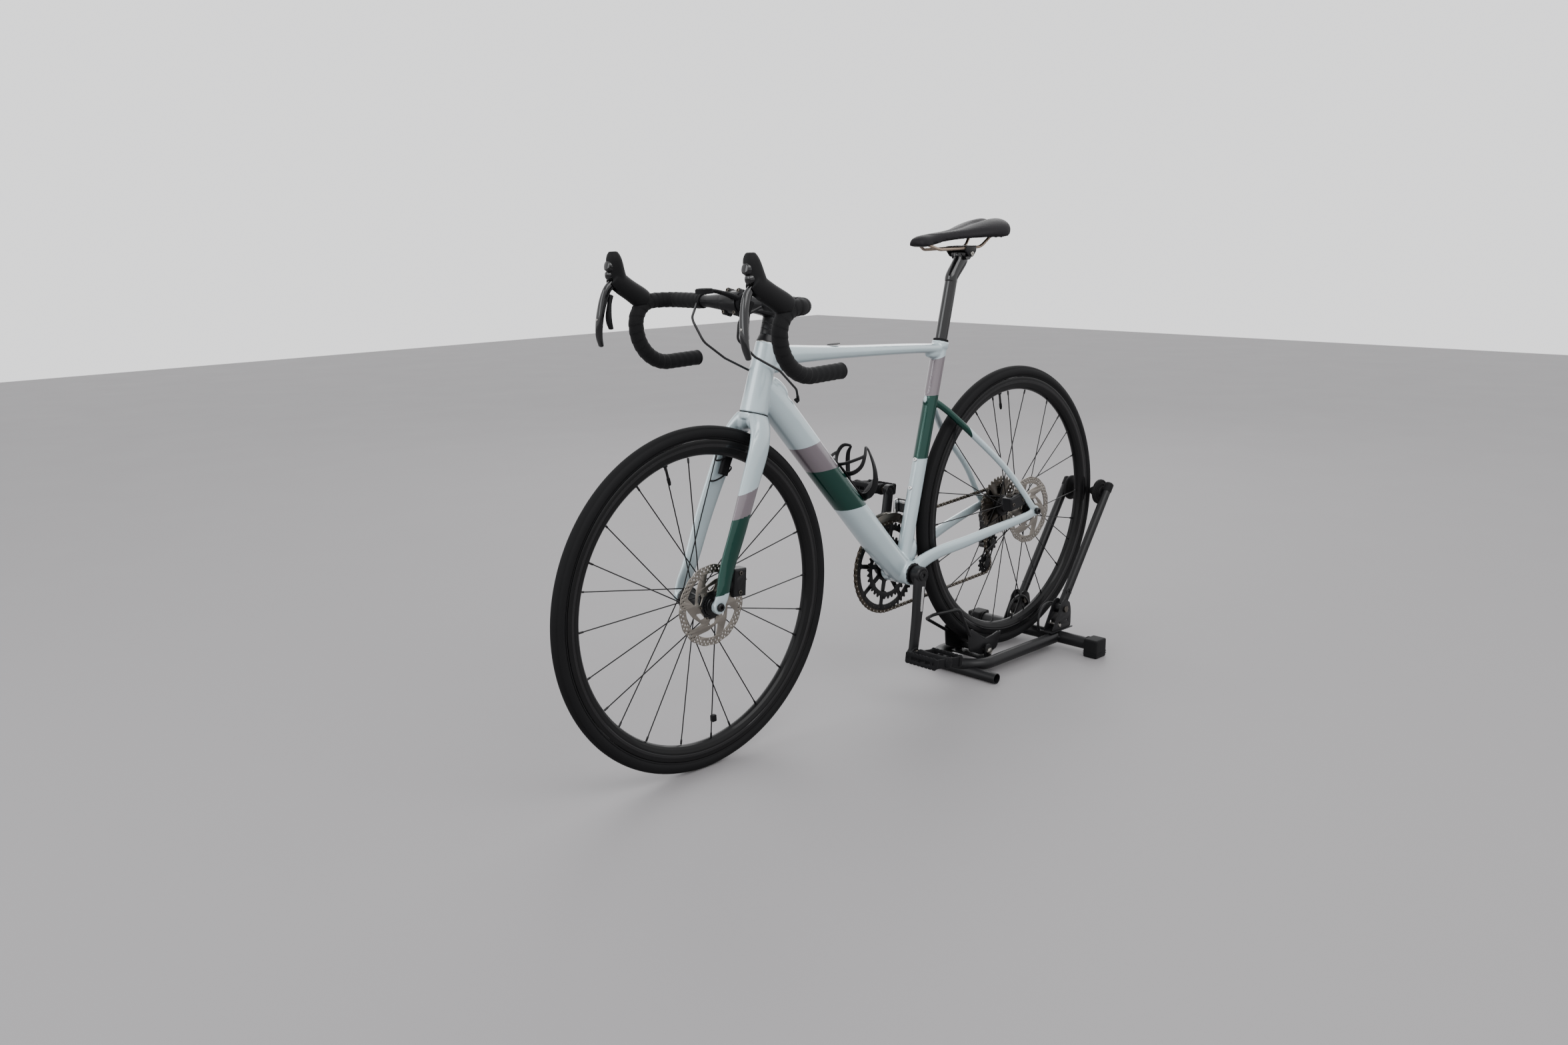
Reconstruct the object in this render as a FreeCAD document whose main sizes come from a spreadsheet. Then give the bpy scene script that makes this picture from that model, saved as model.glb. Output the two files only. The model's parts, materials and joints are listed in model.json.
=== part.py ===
import FreeCAD, Part
import math
import os
import Sketcher
from FreeCAD import Placement, Rotation, Vector

# Road bicycle with disc brakes, its rear wheel held in a folding storage stand.
# Millimetres. +X is the bicycle's front, +Y its left side, +Z up. The origin is on the floor, under the
# middle of the bounding box. Bicycle parts are drawn about the bottom bracket or their own axle, then placed.

doc = FreeCAD.newDocument("bicycle_on_stand")
sheet = doc.addObject("Spreadsheet::Sheet", "Sizes")
subparts = {}


class Size:
    """A number that also keeps the sheet expression it comes from."""

    def __init__(self, number, text):
        self.number = float(number)
        self.text = text

    def __float__(self):
        return self.number

    def __add__(self, other):
        return Size(self.number + float(other), f"({self.text} + {words(other)})")

    def __sub__(self, other):
        return Size(self.number - float(other), f"({self.text} - {words(other)})")

    def __mul__(self, other):
        return Size(self.number * float(other), f"({self.text} * {words(other)})")

    def __truediv__(self, other):
        return Size(self.number / float(other), f"({self.text} / {words(other)})")

    def __neg__(self):
        return Size(-self.number, f"(0 - {self.text})")


def words(quantity):
    return quantity.text if isinstance(quantity, Size) else f"{float(quantity):.6f}"


def cell(alias, number):
    row = sheet.getUsedCells()
    place = f"B{len(row) + 1}"
    sheet.set(place, str(number))
    sheet.setAlias(place, alias)
    return Size(number, f"Sizes.{alias}")


# ---------------------------------------------------------------- driving sizes
WHEELBASE = cell("wheelbase", 990)
REAR_LIFT = cell("rear_lift", 30)
TYRE_RADIUS = cell("tyre_radius", 340)
TYRE_WIDTH = cell("tyre_width", 28)
BEAD_RADIUS = cell("bead_radius", 314)
RIM_WIDTH = cell("rim_width", 25)
RIM_DEPTH = cell("rim_depth", 30)
SPOKE_RADIUS = cell("spoke_radius", 1.1)
STAY_LENGTH = cell("stay_length", 408)
DROP = cell("bracket_drop", 72)
STACK = cell("stack", 548)
REACH = cell("reach", 382)
HEAD_ANGLE = cell("head_angle", 72)
HEAD_LENGTH = cell("head_length", 140)
HEAD_TOP_RADIUS = cell("head_top_radius", 22)
HEAD_LOW_RADIUS = cell("head_low_radius", 28.5)
SEAT_ANGLE = cell("seat_angle", 73.6)
SEAT_TUBE_LENGTH = cell("seat_tube_length", 518)
SEAT_TUBE_RADIUS = cell("seat_tube_radius", 16.4)
POST_RADIUS = cell("post_radius", 13.6)
SHELL_RADIUS = cell("shell_radius", 27)
SHELL_WIDTH = cell("shell_width", 73)
SPINDLE_RADIUS = cell("spindle_radius", 12)
STEERER_RADIUS = cell("steerer_radius", 14.3)
AXLE_RADIUS = cell("axle_radius", 6)
RUNNING_GAP = cell("running_gap", 0.05)
FRONT_SPACING = cell("front_spacing", 100)
REAR_SPACING = cell("rear_spacing", 142)
ROTOR_RADIUS = cell("rotor_radius", 80)
ROTOR_THICK = cell("rotor_thick", 1.8)
CRANK_LENGTH = cell("crank_length", 172.5)
CRANK_ANGLE = cell("crank_angle", 78)
RING_TEETH = cell("ring_teeth", 50)
INNER_RING_TEETH = cell("inner_ring_teeth", 34)
COG_TEETH = cell("cog_teeth", 21)
PULLEY_TEETH = cell("pulley_teeth", 11)
CHAIN_PITCH = cell("chain_pitch", 12.7)
CHAIN_LINE = cell("chain_line", 44)
CHAIN_HALF = cell("chain_half_height", 3.9)
BAR_RADIUS = cell("bar_radius", 12)
BAR_CLAMP_RADIUS = cell("bar_clamp_radius", 15.9)
BAR_HALF_WIDTH = cell("bar_half_width", 203)
TAPE_RADIUS = cell("tape_radius", 15.4)
STAND_TUBE_RADIUS = cell("stand_tube_radius", 14)
STAND_HALF_WIDTH = cell("stand_half_width", 178)
STAND_RAIL_Y = cell("stand_rail_y", 70)
ARM_RADIUS = cell("arm_radius", 10.5)
ARM_Y = cell("arm_y", 62)
doc.recompute()


def number(size):
    return float(size)


def across(x, y, z):
    return Vector(float(x), float(y), float(z))


ARM_PIVOT = Vector(-141, 0, 95)
ARM_TOP = Vector(-340, 0, 378)
ARM_RUN = (ARM_TOP - ARM_PIVOT).normalize()
ARM_CAP = 8.0
ARM_REACH = -ARM_TOP.x - ARM_RUN.x * ARM_CAP + (number(ARM_RADIUS) + 1) * ARM_RUN.z
PITCH = math.asin(number(REAR_LIFT) / number(WHEELBASE))
HALF_BASE = number(WHEELBASE) * math.cos(PITCH) / 2
MIDDLE = (ARM_REACH - number(TYRE_RADIUS)) / 2
REAR_AXLE = across(MIDDLE - HALF_BASE, 0, TYRE_RADIUS + REAR_LIFT)
FRONT_AXLE = across(MIDDLE + HALF_BASE, 0, TYRE_RADIUS)
TILT = Rotation(Vector(0, 1, 0), math.degrees(PITCH))
STAY_RUN = math.sqrt(number(STAY_LENGTH) ** 2 - number(DROP) ** 2)
REAR_DROPOUT = Vector(-STAY_RUN, 0, number(DROP))
FRONT_DROPOUT = Vector(number(WHEELBASE) - STAY_RUN, 0, number(DROP))
BRACKET = REAR_AXLE - TILT.multVec(REAR_DROPOUT)

ON_BIKE = Placement(BRACKET, TILT)
ON_FRONT_AXLE = Placement(FRONT_AXLE, TILT)
ON_REAR_AXLE = Placement(REAR_AXLE, TILT)
ON_CRANK = Placement(BRACKET, Rotation(Vector(0, 1, 0), number(CRANK_ANGLE)))
ON_STAND = Placement(Vector(MIDDLE - HALF_BASE, 0, 0), Rotation())

HEAD = math.radians(number(HEAD_ANGLE))
STEER_UP = Vector(-math.cos(HEAD), 0, math.sin(HEAD))
STEER_FRONT = Vector(math.sin(HEAD), 0, math.cos(HEAD))
HEAD_TOP = across(REACH, 0, STACK)
HEAD_LOW = HEAD_TOP - STEER_UP * number(HEAD_LENGTH)
SEAT = math.radians(number(SEAT_ANGLE))
SEAT_UP = Vector(-math.cos(SEAT), 0, math.sin(SEAT))
BOTH_SIDES = (1, -1)


# ---------------------------------------------------------------- helpers
def bind(thing, **sizes):
    for name, quantity in sizes.items():
        if isinstance(quantity, Size):
            thing.setExpression(name, quantity.text)
        else:
            setattr(thing, name, quantity)
    return thing


def publish(name, thing, place):
    thing.Label = name
    thing.Placement = place.multiply(thing.Placement)
    subparts[name] = thing
    return thing


def turned_to(direction):
    return Rotation(Vector(0, 0, 1), direction)


def rod(start, direction, radius, length):
    piece = doc.addObject("Part::Cylinder", "Rod")
    bind(piece, Radius=radius, Height=length)
    piece.Placement = Placement(start, turned_to(direction))
    return piece


def cross_rod(middle, radius, width):
    """A rod along Y, centred on a point."""
    return rod(middle - Vector(0, number(width) / 2, 0), Vector(0, 1, 0), radius, width)


def cone(start, direction, low, high, length):
    piece = doc.addObject("Part::Cone", "Taper")
    bind(piece, Radius1=low, Radius2=high, Height=length)
    piece.Placement = Placement(start, turned_to(direction))
    return piece


def block(middle, along, high, wide, angle=0):
    """A box centred on a point, `along` X, `high` Z and `wide` Y, turned nose up by `angle` degrees."""
    piece = doc.addObject("Part::Box", "Block")
    bind(piece, Length=along, Width=wide, Height=high)
    turn = Rotation(Vector(0, 1, 0), -angle)
    half = Vector(number(along) / 2, number(wide) / 2, number(high) / 2)
    piece.Placement = Placement(middle - turn.multVec(half), turn)
    return piece


def fused(*pieces):
    joined = doc.addObject("Part::MultiFuse", "Joined")
    joined.Shapes = list(pieces)
    return joined


def trimmed(base, *tools):
    for tool in tools:
        result = doc.addObject("Part::Cut", "Trimmed")
        result.Base = base
        result.Tool = tool
        base = result
    return base


def formed(shape):
    piece = doc.addObject("Part::Feature", "Formed")
    piece.Shape = shape
    return piece


def lathe(outline):
    """A PartDesign body turned about Y from (radius, y) corners."""
    body = doc.addObject("PartDesign::Body", "Turned")
    sketch = body.newObject("Sketcher::SketchObject", "Profile")
    plane = [feature for feature in body.Origin.OriginFeatures if feature.Role == "XY_Plane"][0]
    sketch.AttachmentSupport = [(plane, "")]
    sketch.MapMode = "FlatFace"
    corners = [across(radius, along, 0) for radius, along in outline]
    count = len(corners)
    for index in range(count):
        sketch.addGeometry(Part.LineSegment(corners[index], corners[(index + 1) % count]), False)
    for index in range(count):
        sketch.addConstraint(Sketcher.Constraint("Coincident", index, 2, (index + 1) % count, 1))
    for index, (radius, along) in enumerate(outline):
        for kind, quantity in (("DistanceX", radius), ("DistanceY", along)):
            order = (-1, 1, index, 1) if number(quantity) >= 0 else (index, 1, -1, 1)
            held = sketch.addConstraint(Sketcher.Constraint(kind, *order, abs(number(quantity))))
            if isinstance(quantity, Size):
                signed = quantity if number(quantity) >= 0 else -quantity
                sketch.setExpression(f"Constraints[{held}]", signed.text)
    turn = body.newObject("PartDesign::Revolution", "Turn")
    turn.Profile = sketch
    turn.ReferenceAxis = (sketch, ["V_Axis"])
    turn.Angle = 360
    body.Tip = turn
    return body


def section(middle, along, half_wide, half_high, power=2.0):
    """A closed smooth curve about a point: an ellipse, or squarer with a larger power."""
    along = Vector(along).normalize()
    side = Vector(0, 1, 0) - along * along.y
    if side.Length < 0.1:
        side = Vector(1, 0, 0) - along * along.x
    side.normalize()
    rise = along.cross(side)
    points = []
    for step in range(16):
        angle = 2 * math.pi * step / 16
        cosine, sine = math.cos(angle), math.sin(angle)
        wide = math.copysign(abs(cosine) ** (2 / power), cosine) * half_wide
        high = math.copysign(abs(sine) ** (2 / power), sine) * half_high
        points.append(middle + side * wide + rise * high)
    curve = Part.BSplineCurve()
    curve.interpolate(Points=points, PeriodicFlag=True)
    return Part.Wire(curve.toShape())


def tube(stations, power=2.0):
    """A solid through stations of (point, half width, half height); it faces along its own line."""
    middles = [station[0] for station in stations]
    wires = []
    for index, (middle, half_wide, half_high) in enumerate(stations):
        before = middles[max(index - 1, 0)]
        after = middles[min(index + 1, len(middles) - 1)]
        wires.append(section(middle, after - before, half_wide, half_high, power))
    return Part.makeLoft(wires, True, False)


def bent_wire(points, radii):
    """Straight runs joined by tangent arcs; radii has one value for each inner point."""
    edges = []
    start = points[0]
    for index in range(1, len(points) - 1):
        corner = points[index]
        back = (points[index - 1] - corner).normalize()
        ahead = (points[index + 1] - corner).normalize()
        turn = math.pi - back.getAngle(ahead)
        reach = radii[index - 1] * math.tan(turn / 2)
        first = corner + back * reach
        last = corner + ahead * reach
        inward = (back + ahead).normalize()
        centre = corner + inward * (radii[index - 1] / math.cos(turn / 2))
        middle = centre - inward * radii[index - 1]
        if (first - start).Length > 0.01:
            edges.append(Part.LineSegment(start, first).toShape())
        edges.append(Part.Arc(first, middle, last).toShape())
        start = last
    edges.append(Part.LineSegment(start, points[-1]).toShape())
    return Part.Wire(edges)


def piped(wire, radius):
    """A round bar swept along a bent wire, its volume checked against section times length."""
    edge = wire.Edges[0]
    ahead = edge.tangentAt(edge.FirstParameter)
    circle = Part.Wire(Part.makeCircle(float(radius), edge.valueAt(edge.FirstParameter), ahead))
    solid = wire.makePipeShell([circle], True, True)
    expected = math.pi * float(radius) ** 2 * wire.Length
    if abs(solid.Volume - expected) > 0.01 * expected:
        raise RuntimeError(f"pipe volume {solid.Volume:.0f} is not {expected:.0f}")
    return solid


def mirrored(shape):
    return shape.mirror(Vector(0, 0, 0), Vector(0, 1, 0))


def joined_shape(shapes):
    return shapes[0].multiFuse(shapes[1:]).removeSplitter()


def carved(shape, *cutters):
    """The shape without the cutters, checked after each one."""
    for cutter in cutters:
        shape = shape.cut(cutter)
        if shape.isNull() or not shape.isValid():
            raise RuntimeError("a cut left nothing or a broken solid")
    return shape


def largest(shape):
    return max(shape.Solids, key=lambda solid: solid.Volume)


def on_side(side, shape):
    return shape if side > 0 else mirrored(shape)


def polar(centre, radius, degrees):
    angle = math.radians(degrees)
    return centre + Vector(radius * math.cos(angle), 0, radius * math.sin(angle))


# ---------------------------------------------------------------- wheels
def make_tyre(name, place):
    ring = doc.addObject("Part::Torus", "Ring")
    bind(ring, Radius1=TYRE_RADIUS - TYRE_WIDTH / 2, Radius2=TYRE_WIDTH / 2)
    ring.Placement = Placement(Vector(), turned_to(Vector(0, 1, 0)))
    seat = cross_rod(Vector(), BEAD_RADIUS, TYRE_WIDTH * 2)
    publish(name, trimmed(ring, seat), place)


def make_rim(name, place):
    inner = BEAD_RADIUS - RIM_DEPTH
    outline = [
        (BEAD_RADIUS, -RIM_WIDTH / 2), (BEAD_RADIUS, RIM_WIDTH / 2),
        (BEAD_RADIUS - 10, RIM_WIDTH / 2 + 0.5), (inner + 7, RIM_WIDTH / 2 - 3.5),
        (inner, RIM_WIDTH / 4), (inner, -RIM_WIDTH / 4),
        (inner + 7, -RIM_WIDTH / 2 + 3.5), (BEAD_RADIUS - 10, -RIM_WIDTH / 2 - 0.5),
    ]
    publish(name, lathe(outline), place)


def make_hub(name, place, stations):
    """A hub shell from (y, radius) stations, bored for the through axle."""
    bore = AXLE_RADIUS + RUNNING_GAP
    outline = [(bore, stations[0][0])]
    outline += [(radius, along) for along, radius in stations]
    outline.append((bore, stations[-1][0]))
    publish(name, lathe(outline), place)


def make_spokes(name, place, flanges):
    """Twenty-four crossed spokes: each flange has six pulling forwards and six backwards."""
    spokes = []
    rim_radius = number(BEAD_RADIUS) - number(RIM_DEPTH) + 0.5
    for flange_y, flange_radius, phase in flanges:
        for index in range(12):
            lean = 1 if index % 2 else -1
            hub_angle = math.radians(index * 30 + phase)
            rim_angle = hub_angle + lean * math.radians(58)
            start_y = flange_y + lean * 2.2
            rim_y = math.copysign(2.0, flange_y)
            start = Vector(flange_radius * math.cos(hub_angle), start_y,
                    flange_radius * math.sin(hub_angle))
            end = Vector(rim_radius * math.cos(rim_angle), rim_y, rim_radius * math.sin(rim_angle))
            spokes.append(Part.makeCylinder(number(SPOKE_RADIUS), (end - start).Length, start, end - start))
    publish(name, formed(Part.makeCompound(spokes)), place)


def make_rotor(name, place, y, boss_radius):
    """Brake disc: a braking band, a carrier and six slanted arms between them."""
    thick = ROTOR_THICK
    middle = Vector(0, y, 0)
    band = trimmed(cross_rod(middle, ROTOR_RADIUS, thick), cross_rod(middle, ROTOR_RADIUS - 15, thick * 2))
    carrier = trimmed(cross_rod(middle, boss_radius + 9, thick), cross_rod(middle, boss_radius, thick * 2))
    arms = []
    for index in range(6):
        start = polar(middle, boss_radius + 6, index * 60)
        end = polar(middle, number(ROTOR_RADIUS) - 13, index * 60 + 24)
        run = end - start
        angle = math.degrees(math.atan2(run.z, run.x))
        arms.append(block((start + end) * 0.5, run.Length, 6, thick, angle))
    publish(name, fused(band, carrier, *arms), place)


FRONT_ROTOR_Y = 36.0
REAR_ROTOR_Y = 56.0
ROTOR_BOSS = 17.5


def make_wheels():
    make_tyre("front_tyre", ON_FRONT_AXLE)
    make_tyre("rear_tyre", ON_REAR_AXLE)
    make_rim("front_rim", ON_FRONT_AXLE)
    make_rim("rear_rim", ON_REAR_AXLE)
    end = FRONT_SPACING / 2 - 0.3
    make_hub("front_hub", ON_FRONT_AXLE, [
        (-end, 9), (-36.5, 9), (-36, 24), (-31, 24), (-29, 12), (20, 12), (22, 24), (27, 24), (28, 16),
        (34, 16), (34.1, ROTOR_BOSS), (38, ROTOR_BOSS), (38.1, 15), (41, 15), (42, 9), (end, 9)])
    end = REAR_SPACING / 2 - 0.3
    make_hub("rear_hub", ON_REAR_AXLE, [
        (-26.5, 12), (-25, 16), (-22, 26), (-17, 26), (-15, 14), (30, 14), (32, 25), (37, 25), (38, 17),
        (54, 17), (54.1, ROTOR_BOSS), (58, ROTOR_BOSS), (58.1, 15), (61, 15), (62, 9), (end, 9)])
    make_spokes("front_spokes", ON_FRONT_AXLE, [(24.5, 21, 0), (-33.5, 21, 15)])
    make_spokes("rear_spokes", ON_REAR_AXLE, [(34.5, 22, 0), (-19.5, 23, 15)])
    make_rotor("front_rotor", ON_FRONT_AXLE, FRONT_ROTOR_Y, ROTOR_BOSS)
    make_rotor("rear_rotor", ON_REAR_AXLE, REAR_ROTOR_Y, ROTOR_BOSS)
    make_through_axles()


def make_through_axles():
    front = fused(cross_rod(Vector(), AXLE_RADIUS, 124), cross_rod(Vector(0, 63.5, 0), 8, 4))
    publish("front_thru_axle", front, ON_FRONT_AXLE)
    shaft = rod(Vector(0, -80, 0), Vector(0, 1, 0), AXLE_RADIUS, 162)
    head = rod(Vector(0, 81, 0), Vector(0, 1, 0), 8.5, 10)
    publish("rear_thru_axle", fused(shaft, head), ON_REAR_AXLE)


# ---------------------------------------------------------------- frame
def frame_tubes():
    """Top tube, down tube and the joint round the bottom bracket, as smooth tapering solids."""
    down = tube([
        (Vector(4, 0, 2), 30, 27), (Vector(70, 0, 74), 29, 31), (Vector(136, 0, 151), 27, 32),
        (Vector(270, 0, 309), 26, 32), (Vector(350, 0, 404), 26, 32), (Vector(400, 0, 461), 24, 31)], 2.3)
    top = tube([
        (Vector(-141, 0, 482), 15, 10.5), (Vector(-60, 0, 490), 18, 11), (Vector(100, 0, 502), 19, 12.5),
        (Vector(250, 0, 513), 19, 16), (Vector(340, 0, 519), 19, 20), (Vector(388, 0, 521), 18, 22)], 2.4)
    return [down, top]


def frame_cutters():
    """Clearance for the steerer and its bearings, the seatpost and the crank bearings."""
    steerer = Part.makeCylinder(19.5, number(HEAD_LENGTH) + 40, HEAD_LOW - STEER_UP * 20, STEER_UP)
    post_radius = number(POST_RADIUS) + number(RUNNING_GAP)
    post = Part.makeCylinder(post_radius, 260, SEAT_UP * (number(SEAT_TUBE_LENGTH) - 230), SEAT_UP)
    crank = Part.makeCylinder(20.5, 100, Vector(0, -50, 0), Vector(0, 1, 0))
    return [steerer, post, crank]


def front_triangle_shape():
    head = Part.makeCone(number(HEAD_LOW_RADIUS), number(HEAD_TOP_RADIUS), number(HEAD_LENGTH),
            HEAD_LOW, STEER_UP)
    seat = Part.makeCylinder(number(SEAT_TUBE_RADIUS), number(SEAT_TUBE_LENGTH), Vector(), SEAT_UP)
    collar = Part.makeCylinder(number(SEAT_TUBE_RADIUS) + 2.5, 14,
            SEAT_UP * (number(SEAT_TUBE_LENGTH) - 14), SEAT_UP)
    width = number(SHELL_WIDTH)
    shell = Part.makeCylinder(number(SHELL_RADIUS), width, Vector(0, -width / 2, 0), Vector(0, 1, 0))
    whole = joined_shape([shell, seat, collar, head] + frame_tubes())
    for cutter in frame_cutters() + boss_holes():
        whole = whole.cut(cutter)
    return whole


BOSS_HEIGHTS = (186.0, 250.0)
BOSS_RADIUS = 2.5


def boss_holes():
    """Two blind bottle bolt holes on the front of the seat tube, 64 mm apart."""
    holes = []
    forward = Vector(math.sin(SEAT), 0, math.cos(SEAT))
    for height in BOSS_HEIGHTS:
        face = SEAT_UP * height + forward * number(SEAT_TUBE_RADIUS)
        holes.append(Part.makeCylinder(BOSS_RADIUS, 12, face - forward * 11, forward))
    return holes


def rear_side_shape(front):
    """The left stays and dropout; the right side is its mirror image."""
    drop = REAR_DROPOUT + Vector(0, number(REAR_SPACING) / 2 + 4, 0)
    chain_stay = tube([
        (Vector(-12, 24, 2), 10, 20), (Vector(-60, 26, 20), 7, 17), (Vector(-105, 33, 30), 7, 15),
        (Vector(-160, 46, 38), 7.5, 14),
        (Vector(-260, 62, 52), 7, 12), (drop + Vector(40, 0, -8), 5.5, 11), (drop + Vector(-6, 0, 0),
                4.2, 10)])
    seat_stay = tube([
        (Vector(-104, 6, 372), 7, 9), (Vector(-130, 13, 356), 7, 8.5), (Vector(-170, 30, 318), 7, 8),
        (Vector(-260, 54, 232), 6.5, 8), (drop + Vector(32, 0, 36), 5, 8.5), (drop + Vector(2, 0, 2),
                4.2, 10)])
    plate = Part.makeCylinder(13, 8.4, drop - Vector(0, 4.2, 0), Vector(0, 1, 0))
    whole = joined_shape([chain_stay, seat_stay, plate])
    axle = Part.makeCylinder(number(AXLE_RADIUS), 200, REAR_DROPOUT - Vector(0, 100, 0), Vector(0, 1, 0))
    inside = Part.makeCylinder(20.5, 100, Vector(0, -50, 0), Vector(0, 1, 0))
    return largest(carved(whole, front, axle, inside))


def make_bearings():
    """Headset rings, top and bottom, and the two crank bearings."""
    rings = []
    for start, up in ((HEAD_LOW, STEER_UP), (HEAD_TOP, STEER_UP * -1)):
        outer = rod(start, up, 19.5, 9)
        rings.append(trimmed(outer, rod(start - up, up, STEERER_RADIUS + RUNNING_GAP, 12)))
    half = number(SHELL_WIDTH) / 2
    for side in BOTH_SIDES:
        outward = Vector(0, side, 0)
        cup = rod(outward * (half - 9), outward, 20.5, 9)
        lip = rod(outward * half, outward, 23, 3)
        bore = rod(outward * (half - 12), outward, SPINDLE_RADIUS + RUNNING_GAP, 18)
        rings.append(trimmed(fused(cup, lip), bore))
    group = doc.addObject("Part::Compound", "Bearings")
    group.Links = rings
    publish("frame_bearings", group, ON_BIKE)


def make_frame():
    front = front_triangle_shape()
    publish("frame_front_triangle", formed(front), ON_BIKE)
    side = rear_side_shape(front)
    publish("frame_rear_triangle", formed(Part.makeCompound([side, mirrored(side)])), ON_BIKE)
    make_bearings()
    make_bottle_cage()


CAGE_START = Vector(150, 0, 168)
DOWN_ALONG = Vector(134.0, 0, 158.0).normalize()
DOWN_OUT = Vector(-DOWN_ALONG.z, 0, DOWN_ALONG.x)
BOTTLE_AXIS = 73.5
SPINE_HEIGHT = 33.0


def on_bottle(along, turn, reach):
    """A point beside the bottle: distance up the tube, degrees round from the spine, reach from its axis."""
    angle = math.radians(turn)
    axis = CAGE_START + DOWN_OUT * BOTTLE_AXIS + DOWN_ALONG * along
    return axis - DOWN_OUT * (reach * math.cos(angle)) + Vector(0, reach * math.sin(angle), 0)


def cage_arm(stops, radius):
    """A round arm curved through points beside the bottle."""
    curve = Part.BSplineCurve()
    curve.interpolate([on_bottle(*stop) for stop in stops])
    return piped(Part.Wire([curve.toShape()]), radius)


def make_bottle_cage():
    """An open cage on the down tube: a spine, curved arms on each side that meet at a tip, and a foot."""
    lower = [(6, 8, 38.8), (9, 34, 40.4), (22, 66, 41), (46, 94, 41), (72, 120, 41), (86, 140, 41)]
    upper = [(84, 8, 38.8), (82, 34, 40.4), (85, 66, 41), (92, 98, 41), (93, 122, 41), (86, 140, 41)]
    brace = [(112, 5, 38.8), (112, 30, 40), (107, 60, 41), (94, 92, 41)]
    pieces = [cage_arm(lower, 3), cage_arm(upper, 2.6), cage_arm(brace, 2.2)]
    pieces.append(Part.makeSphere(3.4, on_bottle(86, 140, 41)))
    half = joined_shape(pieces)
    spine = Part.makeBox(140, 20, 3.2)
    spine.Placement = Placement(CAGE_START + DOWN_OUT * SPINE_HEIGHT, frame_of(DOWN_ALONG,
            DOWN_OUT)).multiply(
        Placement(Vector(-8, -10, 0), Rotation()))
    foot = Part.makeBox(3.5, 22, 62)
    foot.Placement = Placement(CAGE_START + DOWN_OUT * SPINE_HEIGHT, frame_of(DOWN_ALONG,
            DOWN_OUT)).multiply(
        Placement(Vector(-8, -11, 0), Rotation()))
    spacer = []
    for along in (20, 84):
        base = CAGE_START + DOWN_ALONG * along + DOWN_OUT * 28
        spacer.append(Part.makeCylinder(5, 6, base, DOWN_OUT))
    whole = joined_shape([spine, foot, half, mirrored(half)] + spacer)
    whole = whole.cut(front_triangle_shape())
    publish("bottle_cage", formed(whole), ON_BIKE)


def frame_of(ahead, up):
    """The rotation that carries X to `ahead` and Z to `up`."""
    side = up.cross(ahead)
    matrix = FreeCAD.Matrix(ahead.x, side.x, up.x, 0, ahead.y, side.y, up.y, 0, ahead.z, side.z, up.z,
            0, 0, 0, 0, 1)
    return Rotation(matrix)


# ---------------------------------------------------------------- seat
CLAMP = Vector(-221, 0, 690)


def make_seat():
    start = SEAT_UP * (number(SEAT_TUBE_LENGTH) - 150)
    length = 300
    shaft = Part.makeCylinder(number(POST_RADIUS), length, start, SEAT_UP)
    top = start + SEAT_UP * length
    head = tube([(top - SEAT_UP * 6, 14.4, 14.4), (top + Vector(-8, 0, 14), 13, 15), (CLAMP - Vector(0,
            0, 12), 12, 19)])
    saddle_tube = Part.makeCylinder(11, 40, CLAMP - Vector(0, 20, 9), Vector(0, 1, 0))
    publish("seatpost", formed(joined_shape([shaft, head, saddle_tube])), ON_BIKE)
    make_rails()
    make_clamp()
    make_saddle()


RAIL_Y = 22.0
RAIL_POINTS = [
    Vector(-84, 9, 713), Vector(-118, RAIL_Y, 698), Vector(-178, RAIL_Y, 697),
    Vector(-262, RAIL_Y, 697), Vector(-310, 36, 738)]
RAIL_RADIUS = 3.5


def make_rails():
    solids = []
    for side in BOTH_SIDES:
        bar = piped(bent_wire(RAIL_POINTS, [30, 90, 30]), RAIL_RADIUS)
        solids.append(on_side(side, bar))
    publish("saddle_rails", formed(Part.makeCompound(solids)), ON_BIKE)


def make_clamp():
    """Upper cradle and side ears that grip the two rails on the post's head."""
    bar = Part.makeBox(34, 56, 9, CLAMP + Vector(-17, -28, 2.2))
    rails = [on_side(side, piped(bent_wire(RAIL_POINTS, [30, 90, 30]), RAIL_RADIUS)) for side in BOTH_SIDES]
    for rail in rails:
        bar = bar.cut(rail)
    publish("saddle_clamp", formed(bar), ON_BIKE)


def saddle_section(x, half_wide, top, lip, shell):
    """A closed outline across the saddle: a crowned top, skirts down to the lip, hollow underneath."""
    skirt = top - lip
    shape = [(0.0, top), (0.4, top - skirt * 0.05), (0.74, top - skirt * 0.22), (0.95, top - skirt * 0.5),
             (1.0, top - skirt * 0.78), (0.95, lip), (0.84, lip + skirt * 0.1),
             (0.5, (lip + top - shell) / 2), (0.0, top - shell)]
    points = [Vector(x, wide * half_wide, high) for wide, high in shape]
    points += [Vector(x, -wide * half_wide, high) for wide, high in reversed(shape[1:-1])]
    curve = Part.BSplineCurve()
    curve.interpolate(Points=points, PeriodicFlag=True)
    return Part.Wire(curve.toShape())


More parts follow.
